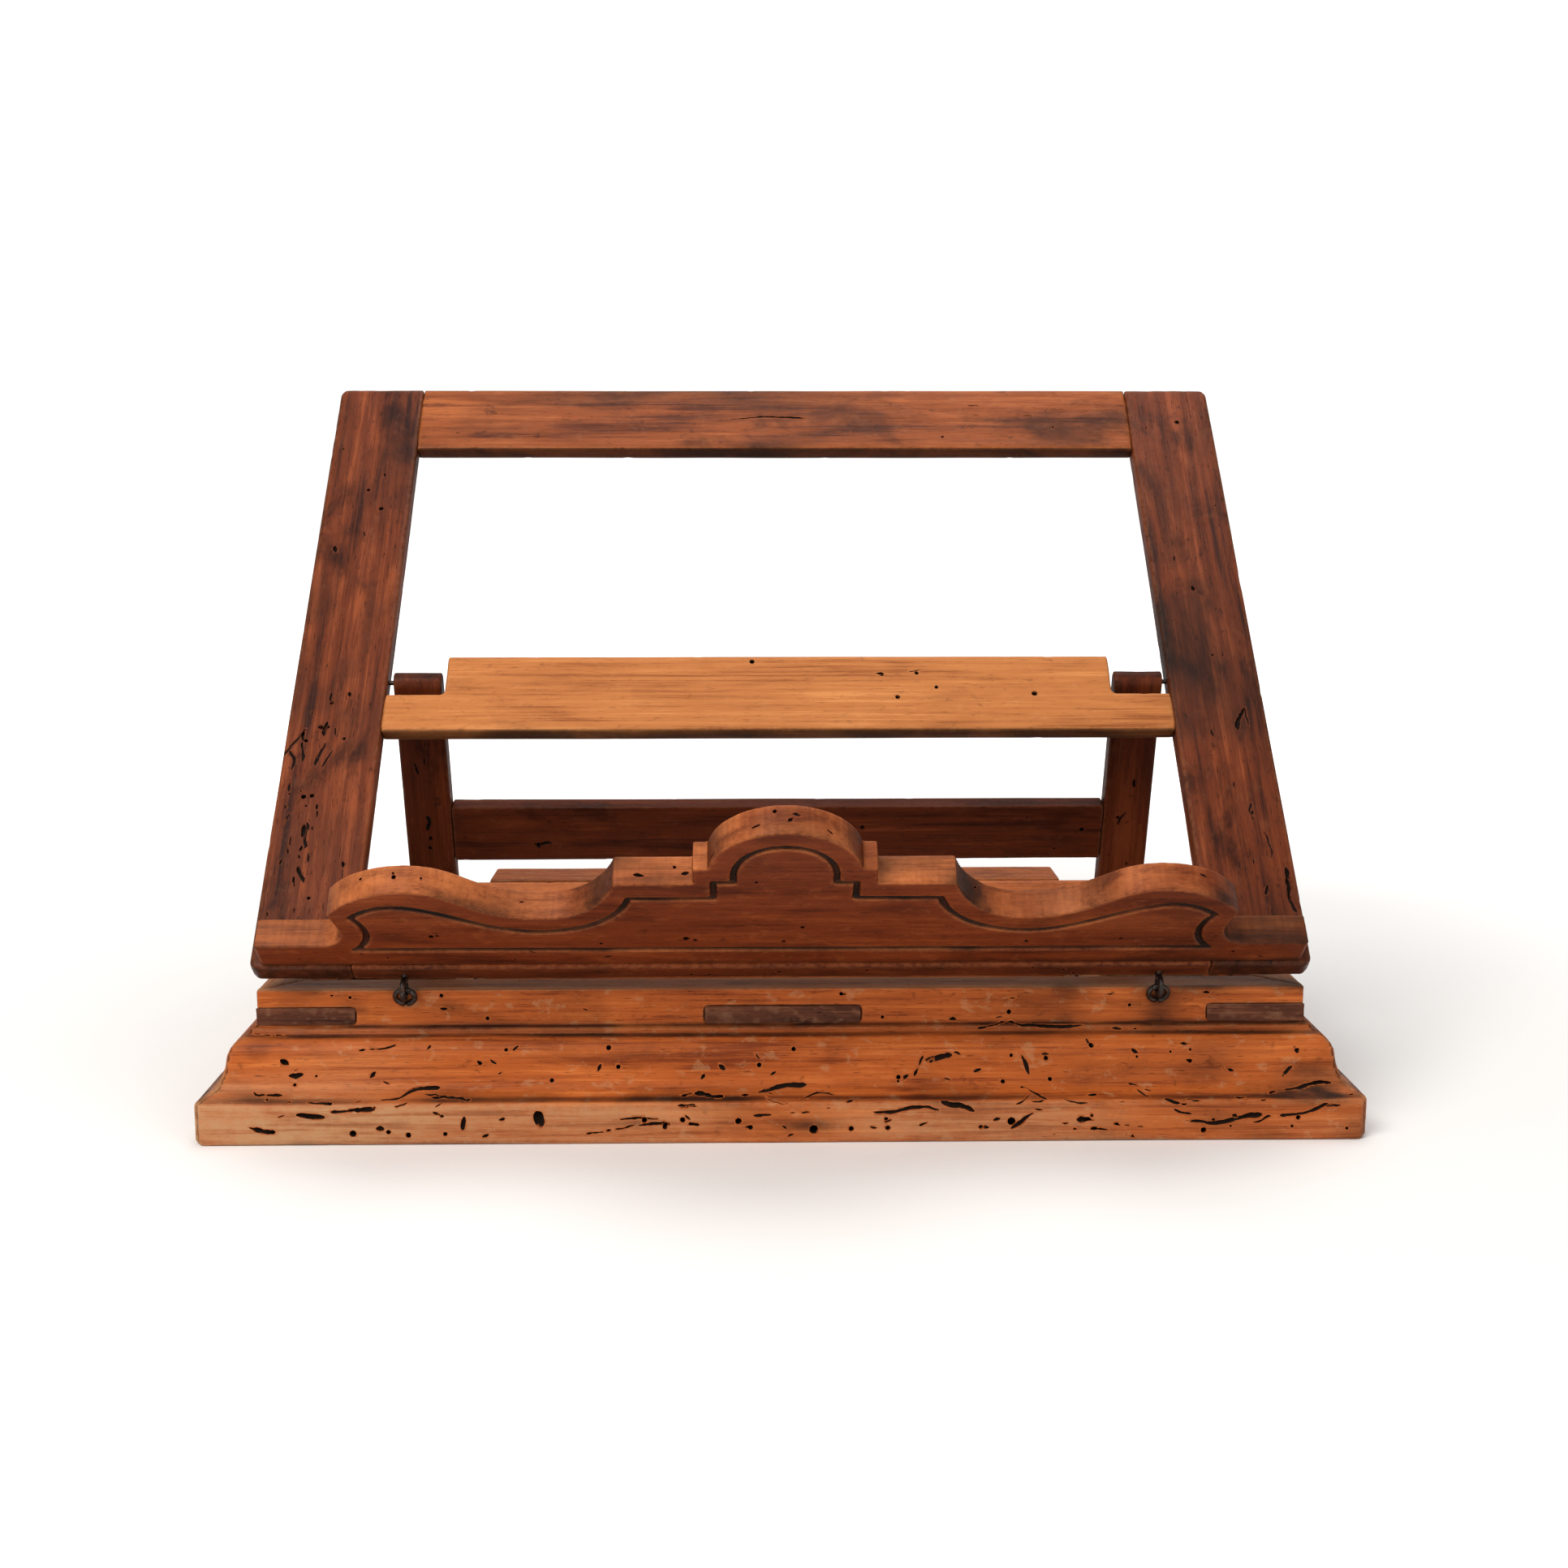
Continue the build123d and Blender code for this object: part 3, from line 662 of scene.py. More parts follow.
front_low, front_high = flat_box("base_front_rail")
base_half = front_high[0]
base_top = front_high[2]
plinth_face = front_low[1]
frieze_half = flat_box("frieze_patch_right")[1][0]
plinth_top = 13.5
ogee_low, ogee_high = 16, 32
bead_foot, frieze_foot = 33.1, 35.9

stile_low, stile_high = flat_box("right_stile")
frame_half = stile_high[0]
opening_half = stile_low[0]
frame_front, frame_back = stile_low[1], stile_high[1]
frame_face = stile_high[2]
ledge_low, ledge_high = flat_box("book_ledge")
mid_low, mid_high = flat_box("mid_rail")


# --- Base --------------------------------------------------------------------------------------

def rounded_mitre(points, sharp):
    """Rounds the base's front corners, about a radius that grows from the frieze to the plinth. The
    thin wood at the mitres starts from its sharp place, because smoothing draws it in."""
    off_mitre = np.abs(np.abs(points[:, 0]) + points[:, 1] - frieze_half)
    thin = ramp(off_mitre, 7, 3)[:, None]
    moved = points * (1 - thin) + sharp * thin
    x, y, z = moved.copy().T
    radius = 1.6 + 2.6 * ramp(z, 32, 12)
    width = np.abs(x)
    beyond = width + y - frieze_half
    on_front = beyond < 0
    gap = np.abs(beyond)
    share = np.clip(1.0 - gap / radius, 0.0, 1.0)
    angle = share * math.pi / 4
    run = radius * (1.0 - np.sin(angle)) - gap
    inset = radius * (1.0 - np.cos(angle))
    front_fade = ramp(y, 9, 0.0)
    side_fade = ramp(width, frieze_half - 9, frieze_half)
    fade = np.where(on_front, front_fade, side_fade)
    active = (share > 0) * fade
    moved[:, 0] -= np.sign(x) * active * np.where(on_front, run, inset)
    moved[:, 1] += active * np.where(on_front, inset, run)
    return moved


def base_pale(points, normals):
    """Bleached plinth, whitest at its ends, and a top edge paler from dust together with painted sheen."""
    x, y, z = points.T
    streaks = smooth_noise(points, (55, 3.5, 3.5), 71)
    clouds = smooth_noise(points, (45, 14, 14), 72)
    plinth = ramp(z, plinth_top + 1.0, plinth_top - 1.0)
    plinth *= np.clip(0.62 + 0.25 * clouds + 0.22 * streaks, 0, 1)
    redder = np.exp(-((x + 4) / 26) ** 2) + ramp(x, 75, 130)
    plinth *= 1.0 - 0.8 * np.clip(redder, 0, 1)
    near_end = ramp(np.abs(x), base_half - 34, base_half - 2)
    near_end *= ramp(y, plinth_face + 40, plinth_face + 6)
    plinth *= 1.0 - 0.45 * near_end
    ends = near_end * ramp(z, ogee_high, plinth_top) * np.clip(0.1 + 0.4 * streaks, 0, 1)
    left_ogee = ramp(x, -100, -165)
    left_ogee *= ramp(z, ogee_high + 2, ogee_high - 4)
    ends += left_ogee * np.clip(0.25 + 0.3 * clouds, 0, 1) * (1 - ramp(y, 0, 30))
    # Upward top faces paler: dust together with painted sheen.
    dust_and_sheen = ramp(z, base_top - 1.2, base_top - 0.4)
    dust_and_sheen *= ramp(normals[:, 2], 0.4, 0.9) * 0.6
    return np.clip(plinth + ends + dust_and_sheen, 0, 1)


def base_dirt_and_shade(points, normals):
    """Dark lines under the frieze and the bead and along the plinth's top arris, the one under the frieze
    being painted shadow in the gap, a burnt knot, dark clouds towards the right-hand end, and painted
    shade on faces turned inward at the back."""
    x, y, z = points.T
    noise = smooth_noise(points, (26, 6, 6), 81)
    blots = smooth_noise(points, (16, 7, 7), 82)
    lines = 0.0
    plinth_line = plinth_top + 1.2
    # The line at the frieze's foot is painted shadow in the gap under the frieze.
    for height, width, share in ((frieze_foot, 0.8, 1.0), (bead_foot, 0.6, 0.75), (plinth_line, 1.0, 0.7)):
        on_line = ramp(np.abs(z - height), width, 0.2)
        lines = lines + on_line * ramp(noise, -0.9, 0.3) * share
    foot = ramp(z, plinth_top + 6, plinth_top + 1)
    foot *= ramp(z, plinth_top, plinth_top + 1)
    foot *= ramp(blots, -0.3, 0.7) * 0.45
    bead = ramp(z, bead_foot - 0.5, bead_foot + 0.3) * 0.35
    bead *= ramp(z, frieze_foot + 0.3, frieze_foot - 0.3)
    knot = np.exp(-((x - 9) / 10) ** 2 - ((z - 6) / 2.2) ** 2)
    right = ramp(x, 60, 190) * ramp(blots, -0.5, 0.7) * 0.55
    blotch = ramp(blots, 0.45, 0.9) * 0.35
    # Painted shade on faces turned inward, inside the base.
    inside = ramp(y, 12, 15) * ramp(normals[:, 1], 0.5, 0.9) * 0.25
    return np.clip(lines + foot + bead + 0.8 * knot + right + blotch + inside, 0, 0.95)


def front_rail_worms(mesh):
    """Galleries thick on the plinth, fewer on the ogee and few on the frieze. Those that stand out
    are placed one by one."""
    face = Cutter(mesh, FRONT, 11)
    ogee_clusters = (
        (-178, -150, 5, 10), (-140, -112, 3, 5), (-104, -86, 6, 4), (-78, -54, 4, 3), (-34, 12, 6, 4),
        (34, 58, 6, 5), (66, 104, 9, 4), (112, 146, 7, 4), (146, 178, 4, 6),
    )
    face.clusters(ogee_clusters, ogee_low + 2, ogee_high - 1.5, slant=0.5, hole_share=0.4)
    plinth_clusters = (
        (-176, -120, 5, 5), (-120, -72, 5, 4), (-60, -24, 4, 5), (-20, 20, 6, 5), (20, 84, 10, 5),
        (84, 110, 4, 6), (130, 190, 10, 10),
    )
    face.clusters(plinth_clusters, 2.5, plinth_top - 1.5, slant=0.25, hole_share=0.35)
    arris = plinth_top
    face.galleries((
        (-172, 11, 21.5, 0.05, 0.9), (-158, arris + 0.8, 20, 0.02, 0.8), (-150, 11.5, 16, 0.08, 0.8),
        (-134, arris + 1.2, 21.5, 0.05, 0.7), (-118, arris + 2.0, 16, -0.06, 0.7), (-178, 6.5, 12, -0.1, 1.0),
        (-166, 27.5, 12, -0.75, 0.8), (-176, 20.5, 20, -0.1, 0.6), (-142, 29.5, 14, 0.1, 0.8),
        (-82, 11.5, 7, -1.5, 1.5), (-106, 9.5, 6, -1.7, 0.9), (-68, 3.6, 46, 0.07, 0.75),
        (-55, 8.2, 18, -0.05, 0.6), (-38, 7.4, 16, 0.10, 0.6), (-36, arris + 1.5, 26, 0.02, 1.0),
        (-14, arris + 2.0, 24, -0.03, 0.8), (-10, 9.5, 20, 0.0, 0.6), (52, arris + 0.4, 14, -0.15, 0.8),
        (30, 10.4, 24, 0.03, 0.6), (44, 20.5, 9, 1.1, 0.9), (48, 25.5, 10, 0.1, 0.9),
        (80, 28, 9, -1.2, 0.9),
        (34, 9.5, 9, -1.0, 0.9), (76, 4.5, 10.5, 0.6, 0.8), (98, 7.4, 26, 0.06, 1.2), (96, 4.2, 30, 0.0, 1.0),
        (118, 8.2, 12, -0.15, 0.8), (136, 6.6, 26, 0.06, 0.9), (146, 8.6, 16, -0.05, 0.8),
        (128, 2.8, 43.5, 0.06, 0.9), (166, 8.5, 21.5, 0.15, 1.0), (142, 11.2, 14, -0.9, 0.8),
        (150, arris + 1.0, 20, 0.04, 0.7), (168, 4.0, 18, 0.08, 0.9), (168, arris + 2.5, 18, 0.1, 0.7),
        (66, 34.6, 38, 0.0, 0.6), (112, 34.4, 18, 0.0, 0.6), (-178, 34.0, 14, 0.0, 0.5),
    ))
    big_holes = ((-143, 4, 1.2), (-51, 15, 0.9), (10, 4.6, 1.6), (35, 5, 1.7), (76, 7, 1.5), (94, 6.5, 1.4))
    face.holes(big_holes, depth=7)
    for left, right, count in ((-178, -106, 12), (-44, 30, 9), (76, 190, 14)):
        torn_arris = (left, right, plinth_top - 0.8, plinth_top + 2.6)
        face.scatter(torn_arris, count, 13, 0.55, slant=0.05, hole_share=0.1)
    face.scatter((-170, 170, 44, 47), 9, 3, 0.55)
    face.scatter((-140, 140, 36.8, 43), 8, 3, 0.6)
    return [face]


def side_rail_worms(side, seed):
    """Galleries on a side rail's moulding and on its back end."""
    def worms(mesh):
        face = Cutter(mesh, ((-side, 0, 0), (0, 1, 0), (0, 0, 1)), seed)
        face.scatter((5, 190, ogee_low, ogee_high), 26, 10, slant=0.6)
        face.scatter((-10, 190, 2, plinth_top - 2), 30, 22, slant=0.2)
        face.scatter((20, 190, 38, 46), 8, 4, 0.55)
        top = Cutter(mesh, TOP_LENGTHWISE, seed + 1)
        middle = side * (frieze_half - 7)
        top.scatter((20, 190, middle - 5, middle + 5), 10, 8, 0.55)
        return [face, top]
    return worms


def back_rail_worms(mesh):
    """A few galleries on the back and top of the back rail."""
    back = Cutter(mesh, BACK, 31)
    back.scatter((-160, 160, 4, 24), 22, 18, slant=0.2)
    back.scatter((-118, 118, 24, 44), 16, 10, slant=0.3)
    return [back]


def patch_pale(points, normals):
    """The patches are scraped through here and there."""
    return ramp(smooth_noise(points, (2.2, 2.2, 1.2), 61), 0.15, 0.8) * 0.5


def make_base():
    """The moulded plinth with its racks, blocks and patches."""
    worn_board("base_front_rail", 0, BASE_WOOD, 0.8, 4, 0.10, base_pale, base_dirt_and_shade, front_rail_worms,
               rounded_mitre, seed=3)
    worn_board("base_left_rail", 1, SIDE_WOOD, 0.9, 4, 0.12, base_pale, base_dirt_and_shade, side_rail_worms(-1, 41),
               rounded_mitre, seed=4)
    worn_board("base_right_rail", 1, SIDE_WOOD, 0.9, 4, 0.12, base_pale, base_dirt_and_shade, side_rail_worms(1, 43),
               rounded_mitre, seed=5)
    worn_board("base_back_rail", 0, SIDE_WOOD, 1.0, 4, 0.15, worms=back_rail_worms, seed=6)
    worn_board("left_rack", 1, PLAIN_WOOD, 1.0, 3, 0.12, seed=7)
    worn_board("right_rack", 1, PLAIN_WOOD, 1.0, 3, 0.12, seed=8)
    worn_board("corner_glue_blocks", 2, PLAIN_WOOD, 1.0, 4, 0.2, seed=9)
    for number, name in enumerate(("left", "centre", "right")):
        worn_board("frieze_patch_" + name, 0, PATCH_WOOD, 0.35, 1, 0.16, patch_pale, seed=50 + number)


# --- Reading frame -----------------------------------------------------------------------------

def rounded_ends(points, sharp):
    """Rounds the reading frame's four outer corners in plan."""
    moved = points.copy()
    radius = 3.2
    across = np.abs(points[:, 0]) - (frame_half - radius)
    middle = (frame_front + frame_back) / 2
    along = np.abs(points[:, 1] - middle) - (frame_back - middle - radius)
    corner = (across > 0) & (along > 0)
    share = np.ones(len(points))
    reach = np.hypot(across, along)
    share[corner] = np.maximum(across, along)[corner] / reach[corner]
    moved[:, 0] -= np.sign(points[:, 0]) * np.where(corner, across * (1 - share), 0.0)
    moved[:, 1] -= np.sign(points[:, 1] - middle) * np.where(corner, along * (1 - share), 0.0)
    return moved


def stile_dirt(points, normals):
    """Darker wood round the hands' place low on the stiles and in bands up their length."""
    up_slope = points[:, 1] - frame_front
    bands = ramp(smooth_noise(points, (22, 26, 60), 91), 0.0, 0.8) * 0.55
    swirls = ramp(smooth_noise(points, (7, 14, 20), 92), 0.1, 0.7) * 0.35
    middle = ramp(np.abs(up_slope - 135), 70, 15)
    foot = ramp(up_slope, 40, 8) * 0.30
    return np.clip(bands * (0.4 + 0.6 * middle) + swirls * (0.3 + 0.7 * middle) + foot, 0, 0.75)


def stile_worms(side, low_count, seed):
    """Galleries along a stile's face, thickest low down by its outer edge, and some below."""
    def worms(mesh):
        face = Cutter(mesh, TOP_LENGTHWISE, seed)
        outer = sorted((side * (frame_half - 3), side * (frame_half - 15)))
        whole = sorted((side * (frame_half - 4), side * (opening_half + 4)))
        low = frame_front + 22
        face.scatter((low, low + 100, *outer), low_count, 19, 0.62, slant=0.07, hole_share=0.15)
        face.scatter((low, low + 90, *whole), low_count // 2, 10, 0.6, slant=0.10)
        face.scatter((low + 90, frame_back - 15, *whole), 7, 7, 0.65)
        below = Cutter(mesh, BELOW_LENGTHWISE, seed + 1)
        below.scatter((low, frame_back - 15, *whole), 14, 10)
        return [face, below]
    return worms


def bottom_rail_pale(points, normals):
    """The strip of the bottom rail behind the ledge is rubbed, and so is its front arris."""
    return ramp(normals[:, 2], 0.5, 0.9) * ramp(points[:, 1], ledge_high[1], ledge_high[1] + 2) * 0.6


def bottom_rail_edge_shade(points, normals):
    """Painted shade: the front edge, turned down toward the reader, is darkened almost to black."""
    return ramp(normals[:, 1], -0.5, -0.9) * 0.45


def bottom_rail_worms(mesh):
    """Small holes in the front edge and some galleries below."""
    edge = Cutter(mesh, FRONT, 61)
    middle = frame_face - 4
    edge.scatter((-120, 120, middle - 2, middle + 2), 10, 5, 0.6)
    below = Cutter(mesh, BELOW, 62)
    below.scatter((-130, 130, frame_front + 16, frame_front + 30), 12, 12)
    return [edge, below]


def mid_rail_worms(mesh):
    """Six flight holes on the right half and one at the upper edge."""
    face = Cutter(mesh, TOP, 64)
    face.holes((
        (-10, 31.5, 1.2), (38, 25.5, 1.0), (43.5, 15, 1.1), (51, 26, 0.9), (58, 19.5, 0.9), (94, 16.5, 1.1),
    ), mid_low[1])
    face.channel(34, mid_low[1] + 26, 0.1, 7, 0.6)
    face.channel(48, mid_low[1] + 26.5, -0.1, 6, 0.5)
    below = Cutter(mesh, BELOW, 65)
    below.scatter((-110, 110, mid_low[1] + 4, mid_high[1] - 4), 10, 8)
    return [face, below]


def top_rail_worms(mesh):
    """A long dark crack near the middle, and a few holes."""
    face = Cutter(mesh, TOP, 67)
    face.channel(-20, frame_back - 17, 0.02, 34, 0.45, wander=0.05)
    face.scatter((-130, 130, frame_back - 28, frame_back - 6), 5, 6, 0.5)
    below = Cutter(mesh, BELOW, 68)
    below.scatter((-130, 130, frame_back - 28, frame_back - 6), 8, 10)
    return [face, below]


def front_edge_shade(points, normals):
    """Painted shade: the edge that faces the reader, turned down away from the light, is darkened."""
    return ramp(normals[:, 1], -0.35, -0.8) * 0.85


def top_rail_dirt_and_shade(points, normals):
    """Dark clouds near the middle of the top rail, and painted shade on its front edge."""
    cloud = smooth_noise(points, (38, 14, 14), 95)
    middle = np.exp(-((points[:, 0] + 30) / 42) ** 2)
    clouds = ramp(cloud, 0.0, 0.8) * (0.25 + 0.5 * middle)
    return np.clip(clouds + front_edge_shade(points, normals), 0, 0.85)


def ledge_pale(points, normals):
    """The ledge's upward faces are paler, rubbed bare by hands and books and with painted sheen from the light
    above, along with its front arrises.
    """
    rubbed = smooth_noise(points, (16, 9, 9), 97)
    scratches = smooth_noise(points, (0.9, 9, 5), 98)
    # Upward faces paler: wear together with painted sheen.
    upward = ramp(normals[:, 2], 0.15, 0.6)
    right = ramp(points[:, 0], 60, 170) * 0.25
    return np.clip(upward * (0.58 + 0.42 * rubbed + 0.14 * scratches - right), 0, 0.95)


def ledge_dirt_and_shade(points, normals):
    """Darker wood in the incised line, and dark patches on the upward faces, heavier round the right-hand
    curl and in the dips, with painted shade along the ledge's foot where it meets the frame."""
    x, y, z = points.T
    in_line = ramp(y, ledge_low[1] + 0.25, ledge_low[1] + 0.8)
    in_line *= ramp(normals[:, 1], -0.1, -0.5)
    in_line *= ramp(z, frame_face + 6, frame_face + 8)
    cloud = smooth_noise(points, (20, 12, 12), 99)
    curl = ramp(x, 125, 150) * 0.45
    dip = np.exp(-((np.abs(x) - 61) / 6) ** 2) * 0.55
    dip += np.exp(-((np.abs(x) - 84) / 16) ** 2) * 0.20
    low_end = ramp(np.abs(x), 146, 152) * 0.25
    upward = ramp(normals[:, 2], 0.05, 0.4)
    right = ramp(x, 40, 170) * (1 - upward) * 0.35
    # Painted shade along the ledge's foot, where it meets the frame's face.
    foot = ramp(z, frame_face + 4, frame_face) * 0.5
    on_top = upward * (ramp(cloud, 0.0, 0.8) * 0.6 + curl + dip + low_end)
    return np.clip(in_line + on_top + right + foot, 0, 1)


def ledge_worms(mesh):
    """Scattered flight holes in the ledge's face, top and back."""
    face = Cutter(mesh, FRONT, 71)
    face.holes((
        (-115, 19, 0.9), (-113, 19.5, 0.6), (-32, 17, 1.2), (-29, 16, 0.8), (0, 15, 0.8), (-9, 52, 0.7),
        (6, 24, 0.8), (111, 16, 0.8), (80, 14.5, 0.8), (-60, 14, 0.6), (150, 7, 0.7),
    ), frame_face, depth=4)
    face.scatter((-165, 165, frame_face + 2, frame_face + 8), 8, 4, 0.5)
    top = Cutter(mesh, TOP, 72)
    region = (-145, 145, ledge_low[1] + 1.5, ledge_high[1] - 1.5)
    top.scatter(region, 18, 5, 0.5, slant=0.5)
    back = Cutter(mesh, BACK, 73)
    back.scatter((-140, 140, frame_face + 3, frame_face + 26), 20, 9, 0.65)
    return [face, top, back]


def make_reading_frame():
    """Stiles, rails and the scrolled ledge."""
    worn_board("left_stile", 1, STILE_WOOD, 0.8, 4, 0.14, dirt_and_shade=stile_dirt, worms=stile_worms(-1, 34, 81),
               shape=rounded_ends, seed=12)
    worn_board("right_stile", 1, STILE_WOOD, 0.8, 4, 0.14, dirt_and_shade=stile_dirt, worms=stile_worms(1, 8, 85),
               shape=rounded_ends, seed=13)
    worn_board("top_rail", 0, RAIL_WOOD, 0.8, 4, 0.12, dirt_and_shade=top_rail_dirt_and_shade, worms=top_rail_worms, seed=14)
    worn_board("bottom_rail", 0, LEDGE_WOOD, 0.8, 4, 0.10, bottom_rail_pale, bottom_rail_edge_shade,
               bottom_rail_worms, seed=15)
    worn_board("mid_rail", 0, HONEY_WOOD, 0.8, 3, 0.10, dirt_and_shade=front_edge_shade, worms=mid_rail_worms, seed=16)
    worn_board("book_ledge", 0, LEDGE_WOOD, 0.55, 3, 0.10, ledge_pale, ledge_dirt_and_shade, ledge_worms, seed=17)
    worn_board("ledge_dowels", 2, PLAIN_WOOD, 0.5, 2, 0.03, seed=18)


# --- Strut -------------------------------------------------------------------------------------

def strut_worms(low, high, seed, grain_along_x):
    """Galleries on both broad faces of a strut board."""
    def worms(mesh):
        views = (TOP, BELOW) if grain_along_x else (TOP_LENGTHWISE, BELOW_LENGTHWISE)
        long, short = (0, 1) if grain_along_x else (1, 0)
        inset = 3
        region = (low[long] + 4 * inset, high[long] - 4 * inset, low[short] + inset, high[short] - inset)
        cutters = []
        for number, view in enumerate(views):
            cutter = Cutter(mesh, view, seed + number)
            cutter.scatter(region, 7, 9, 0.6)
            cutters.append(cutter)
        return cutters
    return worms


def make_strut():
    """Two legs and the cross rail between them."""
    for number, name in enumerate(("left_leg", "right_leg")):
        low, high = flat_box(name)
        worms = strut_worms(low, high, 101 + 2 * number, False)
        worn_board(name, 1, SHADED_STRUT_WOOD, 0.6, 4, 0.08, worms=worms, seed=20 + number)
    low, high = flat_box("strut_cross_rail")
    worms = strut_worms(low, high, 107, True)
    worn_board("strut_cross_rail", 0, SHADED_STRUT_WOOD, 0.8, 4, 0.12, worms=worms, seed=22)
    worn_board("cross_rail_pegs", 2, PLAIN_WOOD, 0.3, 2, 0.02, seed=23)


# --- Ironwork ----------------------------------------------------------------------------------

ring_radius = 3.2 * MM
wire_radius = 0.95 * MM


def wire(name, paths, radius, material, sides=12):
    """Round hand-drawn wire along each path of points, with rounded ends and slight flats."""
    points = []
    faces = []
    for path in paths:
        path = [Vector(point) for point in path]
        first = len(points)
        sideways = (path[1] - path[0]).orthogonal().normalized()
        for index, middle in enumerate(path):
            heading = (path[min(index + 1, len(path) - 1)] - path[max(index - 1, 0)]).normalized()
            sideways = (sideways - heading * sideways.dot(heading)).normalized()
            swell = 1.0 + 0.05 * math.sin(index * 1.7) + 0.03 * math.sin(index * 0.6)
            points.extend(tube_ring(middle, sideways, heading.cross(sideways), radius * swell, sides))
        close_tube(points, faces, first, path, (radius * 0.6, radius * 0.6))
    mesh = bpy.data.meshes.new(name)
    mesh.from_pydata(points, [], faces)
    mesh.update()
    mesh.polygons.foreach_set("use_smooth", [True] * len(mesh.polygons))
    mesh.materials.append(material)
    return new_object(name, mesh)


def eye_path(centre, outward, upward, into_wood, shank_length):
    """A wire that comes out of the wood, goes once round the eye and goes back in beside itself.
    outward points from the wood to the eye's centre, in the eye's plane, and upward is across it."""
    opening = math.asin(wire_radius / ring_radius)
    root = centre - outward * ring_radius * math.cos(opening)
    turns = 26
    ring = []
    for index in range(turns + 1):
        angle = (math.pi - opening) * (1.0 - 2.0 * index / turns)
        ring.append(centre + (outward * math.cos(angle) + upward * math.sin(angle)) * ring_radius)
    shank = [into_wood * shank_length * share for share in (1.0, 0.6, 0.3, 0.1)]
    leg_in = [root + upward * wire_radius + reach for reach in shank]
    leg_out = [root - upward * wire_radius + reach for reach in reversed(shank)]
    return leg_in + ring + leg_out


def make_hinges():
    """Wire eyes: the base's lean against the frieze with their tops on the hinge axis, and the
    frame's stand round the axis and link through them."""
    cad_wire_radius = 1.0 * MM
    half_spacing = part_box("frame_hinge_eyes")[1][0] - cad_wire_radius
    base_lean = math.radians(62.5)
    frame_rise = tilt + math.radians(13.3)
    toward_reader = Vector((0.0, -math.cos(base_lean), math.sin(base_lean)))
    up_shank = Vector((0.0, math.cos(frame_rise), math.sin(frame_rise)))
    sideways = Vector((1.0, 0.0, 0.0))
    inward = Vector((0.0, 1.0, 0.0))
    base_paths = []
    frame_paths = []
    for side in (-1, 1):
        middle = Vector((side * half_spacing, hinge_axis.y, hinge_axis.z))
        base_centre = middle - toward_reader * ring_radius
        base_paths.append(eye_path(base_centre, toward_reader, sideways, inward, 12 * MM))
        frame_paths.append(eye_path(middle, -up_shank, sideways.cross(up_shank), up_shank, 10 * MM))
    for name, paths in (("base_hinge_eyes", base_paths), ("frame_hinge_eyes", frame_paths)):
        eyes = wire(name + "_drawn", paths, wire_radius, IRON)
        stand_for(eyes, name)


def dress_cad_iron():
    """The nails and pivot pins keep their CAD shape and take the iron's finish."""
    for node in ("rack_nails", "strut_pivot_pins"):
        item = frame["nodes"][node]
        item.data.materials.clear()
        item.data.materials.append(IRON)


# --- Stage -------------------------------------------------------------------------------------

def make_floor():
    """Plain pale floor that melts into the white surround in the camera's view."""
    bpy.ops.mesh.primitive_plane_add(size=12.0, location=(0.0, 0.0, -0.0002))
    floor = bpy.context.object
    floor.name = "floor"
    make = Nodes("floor")
    make.shader.inputs["Base Color"].default_value = (0.86, 0.85, 0.84, 1.0)
    make.shader.inputs["Roughness"].default_value = 0.8
    place = make.make("ShaderNodeTexCoord").outputs["Object"]
    distance = make.make("ShaderNodeVectorMath", operation="LENGTH")
    make.link(place, distance.inputs[0])
    make.shader.inputs["Emission Color"].default_value = (1.0, 1.0, 1.0, 1.0)
    seen = make.make("ShaderNodeLightPath").outputs["Is Camera Ray"]
    glow = make.times(make.between(distance.outputs["Value"], 0.25, 1.1), seen)
    make.link(glow, make.shader.inputs["Emission Strength"])
    floor.data.materials.append(make.material)


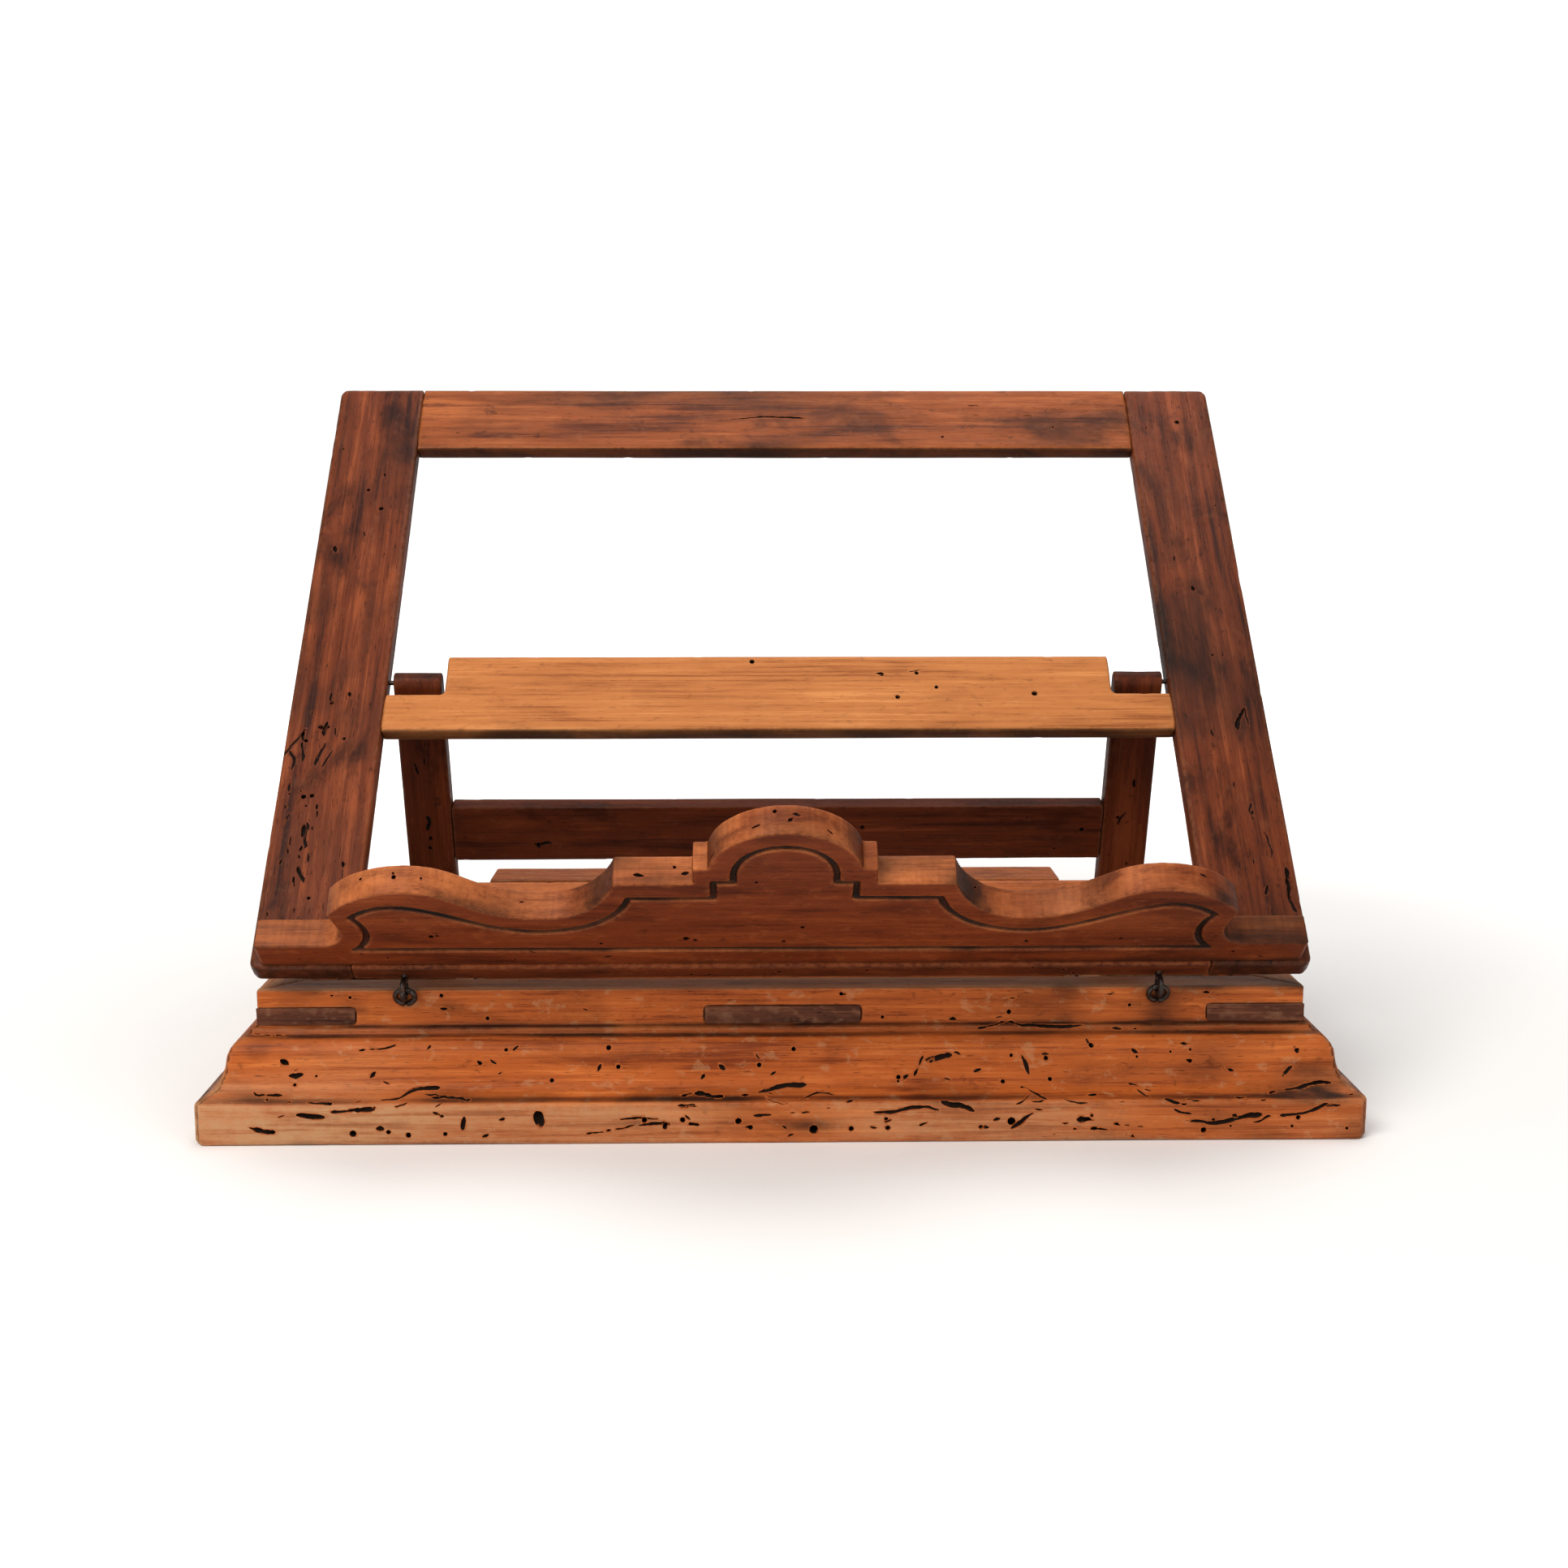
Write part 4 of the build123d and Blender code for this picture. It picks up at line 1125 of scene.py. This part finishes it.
def make_surround():
    """White surround, which lights the object less than it shines in the camera's view."""
    world = bpy.data.worlds.new("studio")
    world.use_nodes = True
    tree = world.node_tree
    background = tree.nodes["Background"]
    background.inputs["Color"].default_value = (1.0, 0.99, 0.97, 1.0)
    seen = tree.nodes.new("ShaderNodeLightPath")
    strength = tree.nodes.new("ShaderNodeMapRange")
    tree.links.new(seen.outputs["Is Camera Ray"], strength.inputs["Value"])
    strength.inputs["To Min"].default_value = 0.42
    strength.inputs["To Max"].default_value = 1.05
    tree.links.new(strength.outputs["Result"], background.inputs["Strength"])
    bpy.context.scene.world = world


def make_lights():
    """Large soft lamps above and in front."""
    lights = (
        ("key", (-0.60, -0.75, 1.10), 0.8, 15.0, (1.0, 0.97, 0.93)),
        ("fill", (0.9, -0.9, 0.6), 1.0, 3.5, (1.0, 0.98, 0.96)),
        ("top", (0.1, 0.35, 1.3), 1.0, 7.0, (1.0, 0.99, 0.98)),
    )
    middle = Vector((0.0, 0.06, 0.08))
    for name, place, size, power, colour in lights:
        lamp = bpy.data.lights.new(name, "AREA")
        lamp.shape = "DISK"
        lamp.size = size
        lamp.energy = power
        lamp.color = colour
        item = bpy.data.objects.new(name, lamp)
        item.location = place
        item.rotation_euler = (middle - Vector(place)).to_track_quat("-Z", "Y").to_euler()
        bpy.context.scene.collection.objects.link(item)


def make_camera():
    """In front, a little left of the middle, looking slightly down and to the right."""
    degrees_down, degrees_right = 9.108, 1.04
    lens = bpy.data.cameras.new("camera")
    lens.lens = 45.09
    lens.sensor_width = 36.0
    camera = bpy.data.objects.new("camera", lens)
    camera.location = (-11.3 * MM, -645.7 * MM, 221.8 * MM)
    camera.rotation_euler = (math.radians(90.0 - degrees_down), 0.0, math.radians(-degrees_right))
    bpy.context.scene.collection.objects.link(camera)
    bpy.context.scene.camera = camera


make_base()
make_reading_frame()
make_strut()
make_hinges()
dress_cad_iron()
make_floor()
make_surround()
make_lights()
make_camera()
bpy.context.scene.view_settings.view_transform = "Standard"
